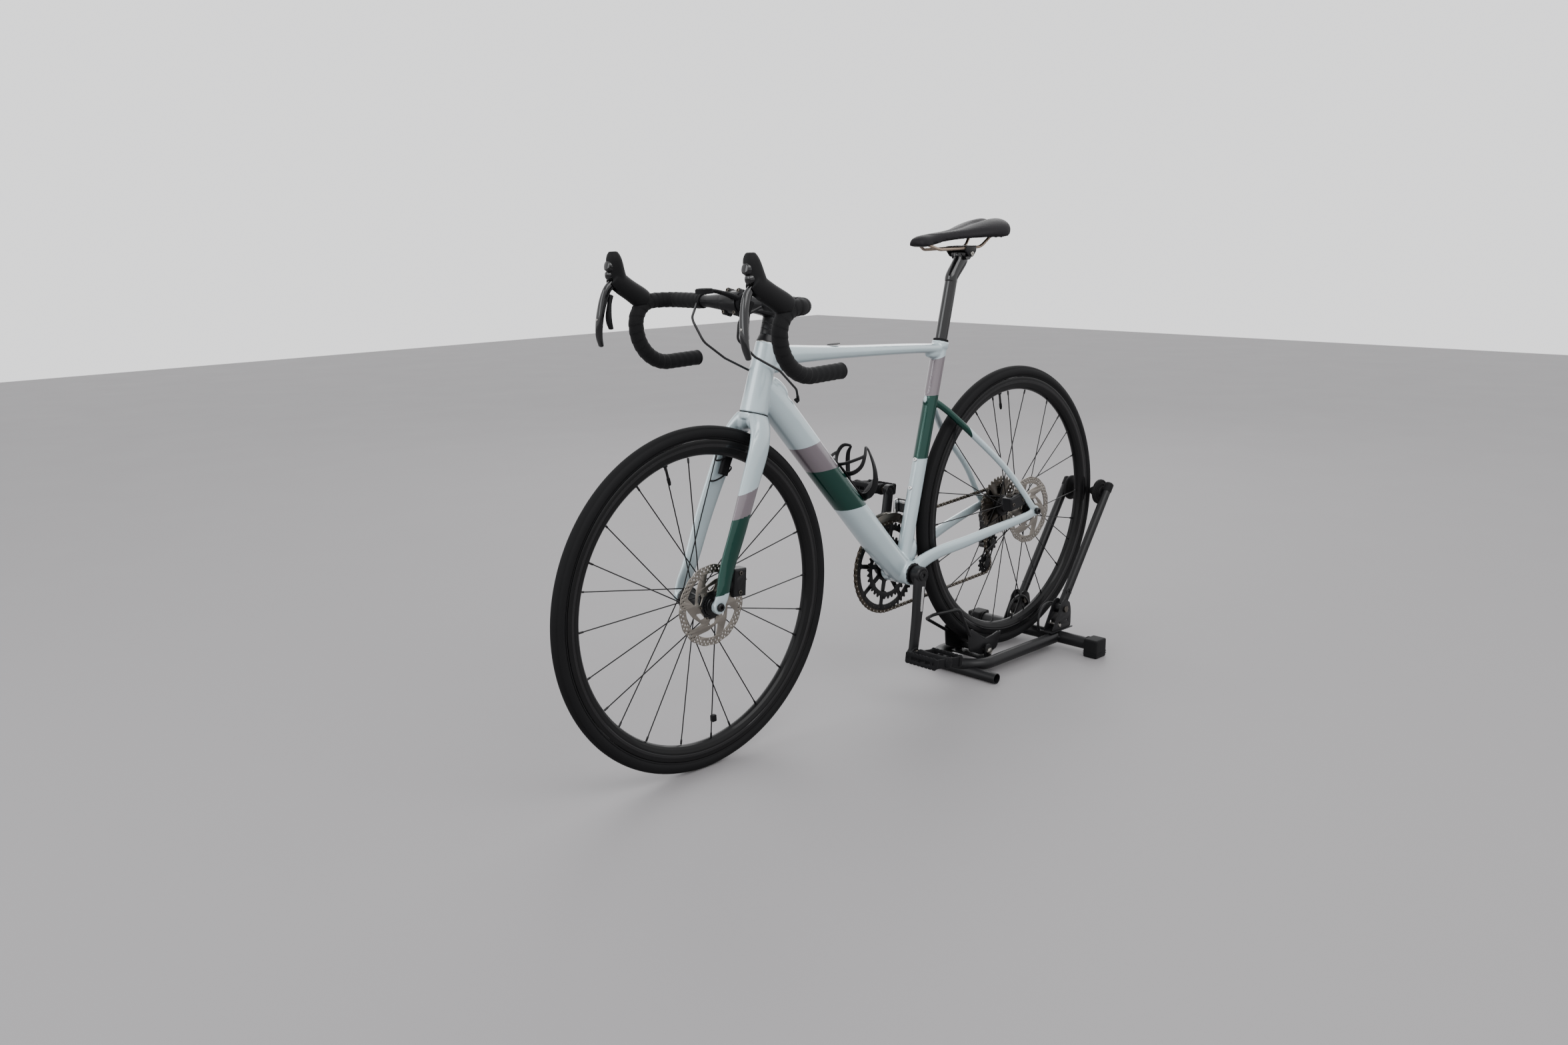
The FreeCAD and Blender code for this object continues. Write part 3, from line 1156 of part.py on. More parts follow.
def make_stand_base():
    radius = number(STAND_TUBE_RADIUS)
    rail = number(STAND_RAIL_Y)
    height = TUBE_HEIGHT
    cross = Part.makeCylinder(radius + 1, 2 * number(STAND_HALF_WIDTH) + 20,
                              Vector(REAR_TUBE_X, -number(STAND_HALF_WIDTH) - 10, height), Vector(0, 1, 0))
    corners = [Vector(REAR_TUBE_X, rail, height), Vector(212, rail, height), Vector(212, -rail, height),
               Vector(REAR_TUBE_X, -rail, height)]
    loop = piped(bent_wire(corners, [55, 55]), radius)
    foot = Part.makeCylinder(12.5, 254, Vector(206, -127, 12.5), Vector(0, 1, 0))
    bar = Part.makeBox(30, 2 * rail, 5, Vector(118, -rail, 24))
    posts = []
    for side in BOTH_SIDES:
        posts.append(Part.makeBox(22, 5, 28, Vector(121, side * 44 - 2.5, 26)))
        posts.append(Part.makeCylinder(11, 5, CRADLE_PIVOT + Vector(0, side * 44 - 2.5, 8), Vector(0, 1,
                0)))
    whole = joined_shape([cross, loop, foot, bar] + posts)
    whole = whole.cut(Part.makeCylinder(10.5, 300, Vector(206, -150, 12.5), Vector(0, 1, 0)))
    pin = Part.makeCylinder(5.05, 200, CRADLE_PIVOT - Vector(0, 100, 0), Vector(0, 1, 0))
    publish("stand_base", formed(whole.cut(pin)), ON_STAND)


def make_feet():
    """Moulded rubber blocks on both ends of the rear cross tube."""
    feet = []
    for side in BOTH_SIDES:
        body = Part.makeBox(44, 38, 46, Vector(REAR_TUBE_X - 22, side * number(STAND_HALF_WIDTH) - 19, 0))
        body = body.makeFillet(5, [edge for edge in body.Edges if edge.BoundBox.ZMin > 1])
        tube_hole = Part.makeCylinder(number(STAND_TUBE_RADIUS) + 1, 2 * number(STAND_HALF_WIDTH) + 20,
                                      Vector(REAR_TUBE_X, -number(STAND_HALF_WIDTH) - 10,
                                              TUBE_HEIGHT), Vector(0, 1, 0))
        feet.append(body.cut(tube_hole))
    publish("stand_feet", formed(Part.makeCompound(feet)), ON_STAND)


def bracket_plate(y):
    """An upright plate with a round top about the arm's pivot."""
    top = Part.makeCylinder(23, 3, ARM_PIVOT + Vector(0, y, 0), Vector(0, 1, 0))
    corners = [Vector(-166, y, 46), Vector(-88, y, 46), Vector(-119, y, 100), Vector(-163, y, 100)]
    face = Part.Face(Part.makePolygon(corners + corners[:1]))
    return top.fuse(face.extrude(Vector(0, 3, 0)))


def make_brackets():
    arm_y = number(ARM_Y)
    half = []
    for y in (arm_y - 14, arm_y + 11):
        half.append(bracket_plate(y))
    base = Part.makeBox(92, 34, 3, Vector(-172, arm_y - 17, 43.2))
    pin = Part.makeCylinder(5, 32, ARM_PIVOT + Vector(0, arm_y - 16, 0), Vector(0, 1, 0))
    spacer = Part.makeCylinder(4, 26, Vector(-118, arm_y - 13, 58), Vector(0, 1, 0))
    hoop = Part.makeTorus(42, 3.2, Vector(-112, arm_y - 17, 70), Vector(0, 1, 0))
    keep = Part.makeBox(80, 30, 100, Vector(-126, arm_y - 30, 45))
    hoop = hoop.common(keep)
    link = Part.makeCylinder(3.2, 6, Vector(-112, arm_y - 19, 112), Vector(0, 1, 0))
    tie = Part.makeBox(30, 5, 6, Vector(-132, arm_y - 18, 108))
    whole = joined_shape(half + [base, pin, spacer, hoop, link, tie])
    publish("stand_brackets", formed(Part.makeCompound([whole, mirrored(whole)])), ON_STAND)


def make_arms():
    arm_y = number(ARM_Y)
    run = ARM_RUN
    length = (ARM_TOP - ARM_PIVOT).Length
    for side, word in ((1, "left"), (-1, "right")):
        base = ARM_PIVOT + Vector(0, side * arm_y, 0)
        shaft = rod(base + run * 7, run, ARM_RADIUS, length - 7)
        eye = cross_rod(base, ARM_RADIUS + 2, ARM_RADIUS * 2 - 1)
        cap = rod(base + run * length, run, ARM_RADIUS + 1, ARM_CAP)
        hole = cross_rod(base, 5.05, 60)
        publish(f"stand_arm_{word}", trimmed(fused(shaft, eye, cap), hole), ON_STAND)
        make_pad(side, word, arm_y, run, length)


def make_pad(side, word, arm_y, run, length):
    """A soft cone on a disc; its tip grips the side of the tyre."""
    tip = number(TYRE_WIDTH) / 2 + 0.4
    face = arm_y - number(ARM_RADIUS) - 0.6
    outline = [(0, tip), (6, tip), (9, tip + 3), (13, 27), (26, 37), (32, 40), (32, 46), (12, 48), (12,
            face), (0, face)]
    outline = [(radius, along * side) for radius, along in outline]
    middle = ARM_PIVOT + run * (length - 19)
    publish(f"stand_pad_{word}", lathe(outline), ON_STAND.multiply(Placement(middle, Rotation())))


def make_cradle():
    """Two V-topped side plates on a pivot tube, with a wire hoop round the front of the tyre."""
    plates = []
    for side in BOTH_SIDES:
        y = side * 35 - 2
        corners = [(72, 76), (84, 80), (131, 72), (182, 106), (196, 106), (192, 56), (150, 38), (112,
                34), (88, 42)]
        points = [Vector(x, y, z) for x, z in corners]
        face = Part.Face(Part.makePolygon(points + points[:1]))
        plates.append(face.extrude(Vector(0, 4, 0)))
    route = [Vector(190, 35, 92), Vector(236, 38, 168), Vector(286, 4, 160), Vector(262, -38, 136),
             Vector(190, -35, 92)]
    hoop = piped(bent_wire(route, [12, 16, 12]), 4)
    spacer = Part.makeCylinder(8, 70, CRADLE_PIVOT - Vector(0, 35, 0), Vector(0, 1, 0))
    whole = joined_shape(plates + [hoop, spacer])
    pin = Part.makeCylinder(5, 100, CRADLE_PIVOT - Vector(0, 50, 0), Vector(0, 1, 0))
    heads = []
    for side in BOTH_SIDES:
        heads.append(Part.makeCylinder(8, 4, CRADLE_PIVOT + Vector(0, side * 49 - 2, 0), Vector(0, 1, 0)))
    publish("stand_cradle", formed(joined_shape([whole, pin] + heads)), ON_STAND)


def make_stand():
    make_stand_base()
    make_feet()
    make_brackets()
    make_arms()
    make_cradle()


# ---------------------------------------------------------------- build, check and write
def check_document():
    doc.recompute()
    for thing in doc.Objects:
        if "Invalid" in thing.State or "Error" in thing.State:
            raise RuntimeError(f"{thing.Label} failed: {thing.State}")
    for name, thing in subparts.items():
        shape = thing.Shape
        if shape.isNull() or not shape.isValid() or not shape.Solids:
            raise RuntimeError(f"{name} has no valid shape")


def write_parts():
    os.makedirs("parts", exist_ok=True)
    for name, thing in subparts.items():
        thing.Shape.exportStep(f"parts/{name}.step")
    print(len(subparts), "sub-parts written")


make_wheels()
make_frame()
make_seat()
make_fork()
make_spacers()
make_stem()
make_handlebar()
make_hoods()
make_levers()
make_mount()
make_sensor()
make_brakes()
make_drivetrain()
make_cables()
make_stand()
check_document()
write_parts()
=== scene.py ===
import json
import math
import bmesh
import bpy
import numpy as np
from mathutils import Matrix, Vector


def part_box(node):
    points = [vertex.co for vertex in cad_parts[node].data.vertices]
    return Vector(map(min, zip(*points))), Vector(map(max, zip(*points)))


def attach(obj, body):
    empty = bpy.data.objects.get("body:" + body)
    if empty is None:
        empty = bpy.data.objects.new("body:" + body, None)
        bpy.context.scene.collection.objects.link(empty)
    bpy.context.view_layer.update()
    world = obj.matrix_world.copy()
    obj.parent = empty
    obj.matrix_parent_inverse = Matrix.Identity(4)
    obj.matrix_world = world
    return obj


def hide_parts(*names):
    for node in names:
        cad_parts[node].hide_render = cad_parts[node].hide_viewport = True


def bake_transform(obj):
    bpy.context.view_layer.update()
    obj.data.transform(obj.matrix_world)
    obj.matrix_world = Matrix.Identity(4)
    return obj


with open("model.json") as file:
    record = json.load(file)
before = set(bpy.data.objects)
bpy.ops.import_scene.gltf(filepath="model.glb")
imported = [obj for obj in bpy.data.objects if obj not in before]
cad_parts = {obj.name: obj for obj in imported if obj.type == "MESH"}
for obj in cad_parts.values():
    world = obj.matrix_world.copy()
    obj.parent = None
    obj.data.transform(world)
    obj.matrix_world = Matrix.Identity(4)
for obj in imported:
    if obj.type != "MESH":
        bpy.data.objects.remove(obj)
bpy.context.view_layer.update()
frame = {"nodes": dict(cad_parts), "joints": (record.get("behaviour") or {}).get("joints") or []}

MM = 0.001
JOINTS = {joint["name"]: joint for joint in frame["joints"]}


def pivot(name):
    return Vector(JOINTS[name]["pos_m"])


BRACKET = pivot("crank_spin")
FRONT_AXLE = pivot("front_wheel_spin")
REAR_AXLE = pivot("rear_wheel_spin")
LEFT = Vector((0, 1, 0))
AHEAD = (FRONT_AXLE - REAR_AXLE).normalized()
UP = AHEAD.cross(LEFT)
STEER_UP = Vector(JOINTS["steering"]["axis"])
STEER_AHEAD = LEFT.cross(STEER_UP)
SEAT_UP = Vector(JOINTS["seatpost_slide"]["axis"])
SEAT_AHEAD = LEFT.cross(SEAT_UP)
HEAD_TOP = pivot("steering")
STAND = Vector((REAR_AXLE.x, 0, 0))
TYRE_RADIUS = FRONT_AXLE.z / MM
SIDES = ((1, "left"), (-1, "right"))


def bike(x, y, z):
    return BRACKET + (AHEAD * x + LEFT * y + UP * z) * MM


def stand(x, y, z):
    return STAND + Vector((x, y, z)) * MM


def in_bike(point):
    """A place back in millimetres about the bottom bracket."""
    away = point - BRACKET
    return Vector((away.dot(AHEAD), away.dot(LEFT), away.dot(UP))) / MM


# ---------------------------------------------------------------- camera, light and floor
CAMERA_PLACE = (2.0888, 1.8846, 1.0490)
CAMERA_LOOK = (-0.67703, -0.70213, -0.22055)
CAMERA_ROLL = math.radians(-0.864)
CAMERA_LENS = 30.45


def make_camera():
    data = bpy.data.cameras.new("camera")
    data.sensor_width = 36
    data.lens = CAMERA_LENS
    camera = bpy.data.objects.new("camera", data)
    bpy.context.scene.collection.objects.link(camera)
    turn = Vector(CAMERA_LOOK).to_track_quat("-Z", "Y").to_matrix().to_4x4()
    camera.matrix_world = Matrix.Translation(CAMERA_PLACE) @ turn @ Matrix.Rotation(CAMERA_ROLL, 4, "Z")
    bpy.context.scene.camera = camera


def area_light(name, place, target, size, power, colour=(1, 1, 1)):
    data = bpy.data.lights.new(name, "AREA")
    data.shape = "RECTANGLE"
    data.size, data.size_y = size
    data.energy = power
    data.color = colour
    light = bpy.data.objects.new(name, data)
    bpy.context.scene.collection.objects.link(light)
    light.location = place
    light.rotation_euler = (Vector(target) - Vector(place)).to_track_quat("-Z", "Y").to_euler()


def make_studio():
    area_light("key_light", (0.6, 2.6, 3.2), (0, 0, 0.4), (3.2, 2.2), 95)
    area_light("side_light", (3.4, -0.6, 2.0), (0, 0, 0.5), (2.2, 2.2), 60, (0.96, 0.98, 1))
    area_light("back_light", (-2.6, -2.2, 2.6), (0, 0, 0.6), (3, 2), 50)
    world = bpy.data.worlds.new("studio")
    world.use_nodes = True
    backdrop = world.node_tree.nodes["Background"]
    backdrop.inputs["Color"].default_value = (0.95, 0.95, 0.96, 1)
    backdrop.inputs["Strength"].default_value = 1.6
    bpy.context.scene.world = world
    mesh = bpy.data.meshes.new("floor")
    reach = 9
    mesh.from_pydata([(-reach, -reach, 0), (reach, -reach, 0), (reach, reach, 0), (-reach, reach, 0)], [],
                     [(0, 1, 2, 3)])
    floor = bpy.data.objects.new("floor", mesh)
    bpy.context.scene.collection.objects.link(floor)
    paint = surface("floor_paint", (0.21, 0.203, 0.208), 0.6, mottle=3, vary=0.03, bump=0.02)
    floor.data.materials.append(paint)


# ---------------------------------------------------------------- materials
def surface(name, colour, rough, metallic=0.0, coat=0.0, grain=1400, bump=0.12, mottle=14, vary=0.12,
            rough_vary=0.08, sheen=0.0, stretch=None, depth=0.0004, pattern="noise", flakes=0.0, mirror=0.5):
    """A procedural material: mottled colour, uneven gloss and a fine raised grain."""
    material = bpy.data.materials.new(name)
    material.use_nodes = True
    nodes, links = material.node_tree.nodes, material.node_tree.links
    shader = nodes["Principled BSDF"]
    shader.inputs["Metallic"].default_value = metallic
    shader.inputs["Specular IOR Level"].default_value = mirror
    shader.inputs["Coat Weight"].default_value = coat
    shader.inputs["Coat Roughness"].default_value = 0.06
    shader.inputs["Sheen Weight"].default_value = sheen
    place = nodes.new("ShaderNodeTexCoord").outputs["Object"]
    if stretch:
        mapping = nodes.new("ShaderNodeMapping")
        mapping.inputs["Scale"].default_value = stretch
        links.new(place, mapping.inputs["Vector"])
        place = mapping.outputs["Vector"]
    cloud = nodes.new("ShaderNodeTexNoise")
    cloud.inputs["Scale"].default_value = mottle
    cloud.inputs["Detail"].default_value = 5
    links.new(place, cloud.inputs["Vector"])
    fine = nodes.new("ShaderNodeTexVoronoi" if pattern == "cells" else "ShaderNodeTexNoise")
    fine.inputs["Scale"].default_value = grain
    links.new(place, fine.inputs["Vector"])
    grain_value = fine.outputs["Distance" if pattern == "cells" else "Fac"]
    blend = nodes.new("ShaderNodeMix")
    blend.data_type = "RGBA"
    dark = tuple(channel * (1 - vary) for channel in colour) + (1,)
    light = tuple(min(channel * (1 + vary) + 0.002, 1) for channel in colour) + (1,)
    blend.inputs["A"].default_value = dark
    blend.inputs["B"].default_value = light
    links.new(cloud.outputs["Fac"], blend.inputs["Factor"])
    tint = blend.outputs["Result"]
    if flakes:
        spark = nodes.new("ShaderNodeMix")
        spark.data_type = "RGBA"
        spark.blend_type = "SOFT_LIGHT"
        spark.inputs["Factor"].default_value = flakes
        links.new(tint, spark.inputs["A"])
        links.new(fine.outputs["Color"], spark.inputs["B"])
        tint = spark.outputs["Result"]
    links.new(tint, shader.inputs["Base Color"])
    gloss = nodes.new("ShaderNodeMapRange")
    gloss.inputs["To Min"].default_value = max(rough - rough_vary, 0.03)
    gloss.inputs["To Max"].default_value = min(rough + rough_vary, 1)
    links.new(cloud.outputs["Fac"], gloss.inputs["Value"])
    links.new(gloss.outputs["Result"], shader.inputs["Roughness"])
    raised = nodes.new("ShaderNodeBump")
    raised.inputs["Strength"].default_value = bump
    raised.inputs["Distance"].default_value = depth
    links.new(grain_value, raised.inputs["Height"])
    links.new(raised.outputs["Normal"], shader.inputs["Normal"])
    return material


def make_materials():
    paint = {"coat": 1.0, "grain": 5200, "bump": 0.015, "vary": 0.05, "rough_vary": 0.03, "flakes": 0.25}
    dull = {"mirror": 0.1}
    black = (0.004, 0.004, 0.0048)
    return {
        "paint_pale": surface("paint_pale", (0.345, 0.42, 0.445), 0.34, metallic=0.25, **paint),
        "paint_plum": surface("paint_plum", (0.115, 0.094, 0.108), 0.34, metallic=0.3, **paint),
        "paint_green": surface("paint_green", (0.002, 0.034, 0.025), 0.22, metallic=0.5, mirror=0.2,
                               **{**paint, "coat": 0.4, "flakes": 0.1}),
        "tyre": surface("tyre_rubber", (0.0042, 0.0042, 0.0046), 0.75, grain=900, bump=0.3, mottle=30,
                        **dull),
        "tyre_wall": surface("tyre_wall", (0.0052, 0.0052, 0.0057), 0.62, grain=1600, bump=0.35,
                             stretch=(1, 3, 1), **dull),
        "rim": surface("rim_carbon", (0.0035, 0.0035, 0.0038), 0.4, coat=0.12, grain=700, bump=0.05,
                       pattern="cells", **dull),
        "rim_gloss": surface("rim_band", (0.004, 0.004, 0.0045), 0.12, coat=0.6, bump=0.01, **dull),
        "anodised": surface("black_anodised", (0.009, 0.009, 0.0098), 0.33, metallic=0.6, grain=2400,
                            bump=0.06),
        "satin_black": surface("satin_black", black, 0.38, coat=0.06, grain=2200, bump=0.08, mirror=0.2),
        "matt_black": surface("matt_plastic", (0.0045, 0.0045, 0.0052), 0.6, grain=2600, bump=0.22, **dull),
        "gloss_black": surface("gloss_carbon", (0.0035, 0.0035, 0.004), 0.15, coat=0.4, grain=500, bump=0.02,
                               pattern="cells", mirror=0.25),
        "spoke": surface("spoke_steel", (0.008, 0.008, 0.0085), 0.35, metallic=0.5, stretch=(1, 1, 6),
                         mirror=0.3),
        "steel": surface("brushed_steel", (0.40, 0.385, 0.36), 0.32, metallic=1.0, grain=600, bump=0.12,
                         stretch=(1, 8, 1)),
        "rotor": surface("rotor_steel", (0.235, 0.215, 0.19), 0.36, metallic=1.0, grain=700, bump=0.16,
                         stretch=(1, 8, 1), mottle=60, vary=0.2),
        "silver": surface("polished_alloy", (0.62, 0.62, 0.62), 0.22, metallic=1.0, grain=900, bump=0.04),
        "dark_steel": surface("dark_nickel", (0.10, 0.09, 0.078), 0.34, metallic=0.95, grain=900, bump=0.1),
        "bronze": surface("chain_bronze", (0.07, 0.058, 0.045), 0.36, metallic=0.9, mottle=90, vary=0.35),
        "tape": surface("bar_tape", (0.005, 0.005, 0.0055), 0.78, grain=520, bump=0.45, pattern="cells",
                        sheen=0.05, **dull),
        "rubber": surface("moulded_rubber", (0.0045, 0.0045, 0.005), 0.62, grain=1500, bump=0.25, sheen=0.03,
                          **dull),
        "saddle": surface("saddle_leather", (0.0075, 0.0068, 0.0082), 0.5, grain=760, bump=0.3,
                          pattern="cells", **dull),
        "saddle_shell": surface("saddle_shell", (0.006, 0.006, 0.0065), 0.42, grain=2200, bump=0.15, **dull),
        "rail_tan": surface("tan_titanium", (0.30, 0.235, 0.185), 0.3, metallic=0.9, grain=900, bump=0.05),
        "powder": surface("powder_coat", (0.0048, 0.0048, 0.0055), 0.42, grain=1100, bump=0.3, coat=0.05,
                          mirror=0.2),
        "cable": surface("cable_housing", (0.006, 0.006, 0.0065), 0.38, grain=1800, bump=0.08, coat=0.15,
                         mirror=0.3),
        "amber": surface("amber_reflector", (0.42, 0.105, 0.012), 0.2, coat=0.6, grain=420, bump=0.6,
                         pattern="cells"),
        "pad_grey": surface("brake_compound", (0.07, 0.06, 0.05), 0.7, grain=1100, bump=0.5, **dull),
    }


# ---------------------------------------------------------------- mesh building
class Build:
    """Collects shapes into one piece, each with its own material."""

    def __init__(self):
        self.vertices, self.faces, self.indices, self.materials = [], [], [], []

    def add(self, shape, material):
        vertices, faces = shape
        start = len(self.vertices)
        if material not in self.materials:
            self.materials.append(material)
        self.vertices.extend(tuple(vertex) for vertex in vertices)
        self.faces.extend(tuple(index + start for index in face) for face in faces)
        self.indices.extend([self.materials.index(material)] * len(faces))
        return self

    def piece(self, name, body, slot, replaces=(), sharp=38):
        mesh = bpy.data.meshes.new(name)
        mesh.from_pydata(self.vertices, [], self.faces)
        mesh.polygons.foreach_set("material_index", self.indices)
        shell = bmesh.new()
        shell.from_mesh(mesh)
        bmesh.ops.remove_doubles(shell, verts=shell.verts, dist=1e-6)
        bmesh.ops.dissolve_degenerate(shell, edges=shell.edges, dist=1e-7)
        bmesh.ops.recalc_face_normals(shell, faces=shell.faces)
        shell.to_mesh(mesh)
        shell.free()
        mesh.shade_smooth()
        mesh.set_sharp_from_angle(angle=math.radians(sharp))
        return placed(mesh, name, [MATERIALS[key] for key in self.materials], body, replaces)


def placed(mesh, name, materials, body, replaces=()):
    for material in materials:
        mesh.materials.append(material)
    piece = bpy.data.objects.new(name + "_shown" if name in frame["nodes"] else name, mesh)
    bpy.context.scene.collection.objects.link(piece)
    if body:
        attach(piece, body)
    if replaces:
        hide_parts(*replaces)
    return piece


def upright(axis):
    """Two directions square to an axis: the first as level as it can be."""
    first = UP.cross(axis) if abs(axis.dot(UP)) < 0.99 else LEFT.copy()
    if abs(axis.dot(LEFT)) > 0.99:
        first = AHEAD.copy()
    first = (first - axis * first.dot(axis)).normalized()
    return first, axis.cross(first)


def rounded(points, radius, closed=True, steps=4):
    """Corners of a flat outline turned into short arcs. A point may hold its own radius as a third number."""
    count = len(points)
    outline = []
    for index, point in enumerate(points):
        corner = Vector(point[:2])
        bend = point[2] if len(point) > 2 else radius
        if (not closed and index in (0, count - 1)) or bend <= 0:
            outline.append(corner)
            continue
        back = Vector(points[index - 1][:2]) - corner
        ahead = Vector(points[(index + 1) % count][:2]) - corner
        if back.length < 1e-6 or ahead.length < 1e-6:
            continue
        angle = back.angle(ahead)
        reach = min(bend / max(math.tan(angle / 2), 1e-3), back.length * 0.48, ahead.length * 0.48)
        first, last = corner + back.normalized() * reach, corner + ahead.normalized() * reach
        for step in range(steps + 1):
            share = step / steps
            outline.append(first * (1 - share) ** 2 + corner * 2 * share * (1 - share) + last * share ** 2)
    return outline


def turned(outline, centre, axis=LEFT, count=72, closed=True, bend=0.6):
    """A surface turned about an axis from (radius, along) corners in millimetres."""
    profile = rounded(outline, bend, closed)
    first, second = upright(axis)
    vertices, faces = [], []
    rows = len(profile)
    for step in range(count):
        angle = 2 * math.pi * step / count
        spoke = first * math.cos(angle) + second * math.sin(angle)
        vertices.extend(centre + (spoke * point[0] + axis * point[1]) * MM for point in profile)
    for step in range(count):
        here, after = step * rows, (step + 1) % count * rows
        for row in range(rows if closed else rows - 1):
            ahead = (row + 1) % rows
            faces.append((here + row, after + row, after + ahead, here + ahead))
    return vertices, faces


def pin(centre, axis, radius, low, high, count=24, bend=0.5):
    """A solid round piece between two places along its axis."""
    return turned([(0, low, 0), (radius, low), (radius, high), (0, high, 0)], centre, axis, count, False,
                  bend)


def sleeve(centre, axis, inner, outer, low, high, count=48, bend=0.5):
    """A bored round piece between two places along its axis."""
    return turned([(inner, low), (outer, low), (outer, high), (inner, high)], centre, axis, count, True, bend)


def sided(side, outline):
    """A turned outline on one side of the bicycle: its places along the axis take that side's sign."""
    return [(point[0], side * point[1], *point[2:]) for point in outline]


def knob(centre, axis, radius, length, bend=0.6, count=32):
    """A short round piece with softened edges, from its foot along its axis."""
    return pin(centre, axis, radius, 0, length, count, bend)


def hexagon(centre, axis, radius, depth=1.6, head=3.0):
    """A cap screw's head with a six-sided socket, standing on its centre point."""
    outline = [(0, 0, 0), (radius, 0, 0.2), (radius, head), (radius * 0.55, head, 0),
               (radius * 0.5, head - depth, 0), (0, head - depth, 0)]
    return turned(outline, centre, axis, 24, False, 0.5)


def curve_points(points, per=8, closed=False):
    """A smooth line through points (Catmull-Rom), for any number of coordinates."""
    rows = np.array([tuple(point) for point in points], float)
    count = len(rows)
    line = []
    for index in range(count if closed else count - 1):
        if closed:
            a, b, c, d = (rows[(index + shift) % count] for shift in (-1, 0, 1, 2))
        else:
            b, c = rows[index], rows[index + 1]
            a = rows[index - 1] if index else 2 * b - c
            d = rows[index + 2] if index + 2 < count else 2 * c - b
        for step in range(per):
            t = step / per
            line.append(0.5 * (2 * b + (c - a) * t + (2 * a - 5 * b + 4 * c - d) * t ** 2
                               + (3 * b - a - 3 * c + d) * t ** 3))
    if not closed:
        line.append(rows[-1])
    return np.array(line)


def bent(points, radii, step=4.0):
    """Straight runs joined by arcs, as close points in metres; one radius in mm for each inner point."""
    line = [Vector(points[0])]
    for index in range(1, len(points) - 1):
        corner = Vector(points[index])
        back = (Vector(points[index - 1]) - corner).normalized()
        ahead = (Vector(points[index + 1]) - corner).normalized()
        turn = math.pi - back.angle(ahead)
        radius = radii[index - 1] * MM
        reach = radius * math.tan(turn / 2)
        centre = corner + (back + ahead).normalized() * (radius / math.cos(turn / 2))
        first = corner + back * reach - centre
        last = corner + ahead * reach - centre
        count = max(int(radius * turn / (step * MM)), 6)
        for share in range(count + 1):
            around = corner - centre
            if turn > 1e-4:
                around = first.slerp(last, share / count).normalized() * radius
            line.append(centre + around)
    line.append(Vector(points[-1]))
    full = []
    for before, after in zip(line, line[1:]):
        parts = max(int((after - before).length / (step * 2.5 * MM)), 1)
        full.extend(before.lerp(after, part / parts) for part in range(parts))
    return full + [line[-1]]


def skin_faces(total, count, closed=False):
    """Faces that join rings of points in turn; the end rings are filled unless the row is closed."""
    faces = []
    for index in range(total if closed else total - 1):
        here, after = index * count, (index + 1) % total * count
        for step in range(count):
            following = (step + 1) % count
            faces.append((here + step, here + following, after + following, after + step))
    if not closed:
        faces.append(tuple(reversed(range(count))))
        faces.append(tuple(range((total - 1) * count, total * count)))
    return faces


def squared_oval(middle, across, over, wide, high, power, count):
    """Points round an oval whose sides are flatter the smaller its power is; half sizes in millimetres."""
    points = []
    for step in range(count):
        angle = 2 * math.pi * step / count
        cosine, sine = math.cos(angle), math.sin(angle)
        u = math.copysign(abs(cosine) ** power, cosine) * wide * MM
        v = math.copysign(abs(sine) ** power, sine) * high * MM
        points.append(middle + across * u + over * v)
    return points


def tube(points, radius, count=20, closed=False, flat=1.0):
    """A bar along close points; its radius is a number in mm or a function of (share of length, angle)."""
    line = [Vector(point) for point in points]
    total = len(line)
    size = radius if callable(radius) else (lambda share, turn: radius)
    lengths = [0.0]
    for before, after in zip(line, line[1:]):
        lengths.append(lengths[-1] + (after - before).length)
    ahead = (line[1] - line[0]).normalized()
    across = upright(ahead)[0]
    vertices = []
    for index, point in enumerate(line):
        if closed:
            ahead = (line[(index + 1) % total] - line[index - 1]).normalized()
        else:
            ahead = (line[min(index + 1, total - 1)] - line[max(index - 1, 0)]).normalized()
        across = (across - ahead * across.dot(ahead)).normalized()
        over = ahead.cross(across)
        for step in range(count):
            angle = 2 * math.pi * step / count
            wide = size(lengths[index] / lengths[-1], angle) * MM
            vertices.append(point + across * math.cos(angle) * wide + over * math.sin(angle) * wide * flat)
    return vertices, skin_faces(total, count, closed)


def loft(stations, count=36, per=6, power=2.2, dome=(0.0, 0.0)):
    """A smooth skin through (point, half width, half height) stations, its ends closed, domed if asked."""
    rows = curve_points([(*point, wide, high) for point, wide, high in stations], per)
    middles = [Vector(row[:3]) for row in rows]
    rings = [(middle, row[3], row[4]) for middle, row in zip(middles, rows)]
    for end, bulge in ((0, dome[0]), (-1, dome[1])):
        if bulge:
            middle, wide, high = rings[end]
            inner = rings[1 if end == 0 else -2][0]
            outward = (middle - inner).normalized() * bulge * MM
            extra = []
            for share in (0.35, 0.65, 0.85, 0.97):
                shrink = math.sqrt(1 - share ** 2)
                extra.append((middle + outward * share, wide * shrink, high * shrink))
            rings = (list(reversed(extra)) + rings) if end == 0 else (rings + extra)
    vertices = []
    total = len(rings)
    for index, (middle, wide, high) in enumerate(rings):
        ahead = (rings[min(index + 1, total - 1)][0] - rings[max(index - 1, 0)][0]).normalized()
        across = (LEFT - ahead * LEFT.dot(ahead)).normalized()
        vertices.extend(squared_oval(middle, across, ahead.cross(across), wide, high, 2 / power, count))
    return vertices, skin_faces(total, count)


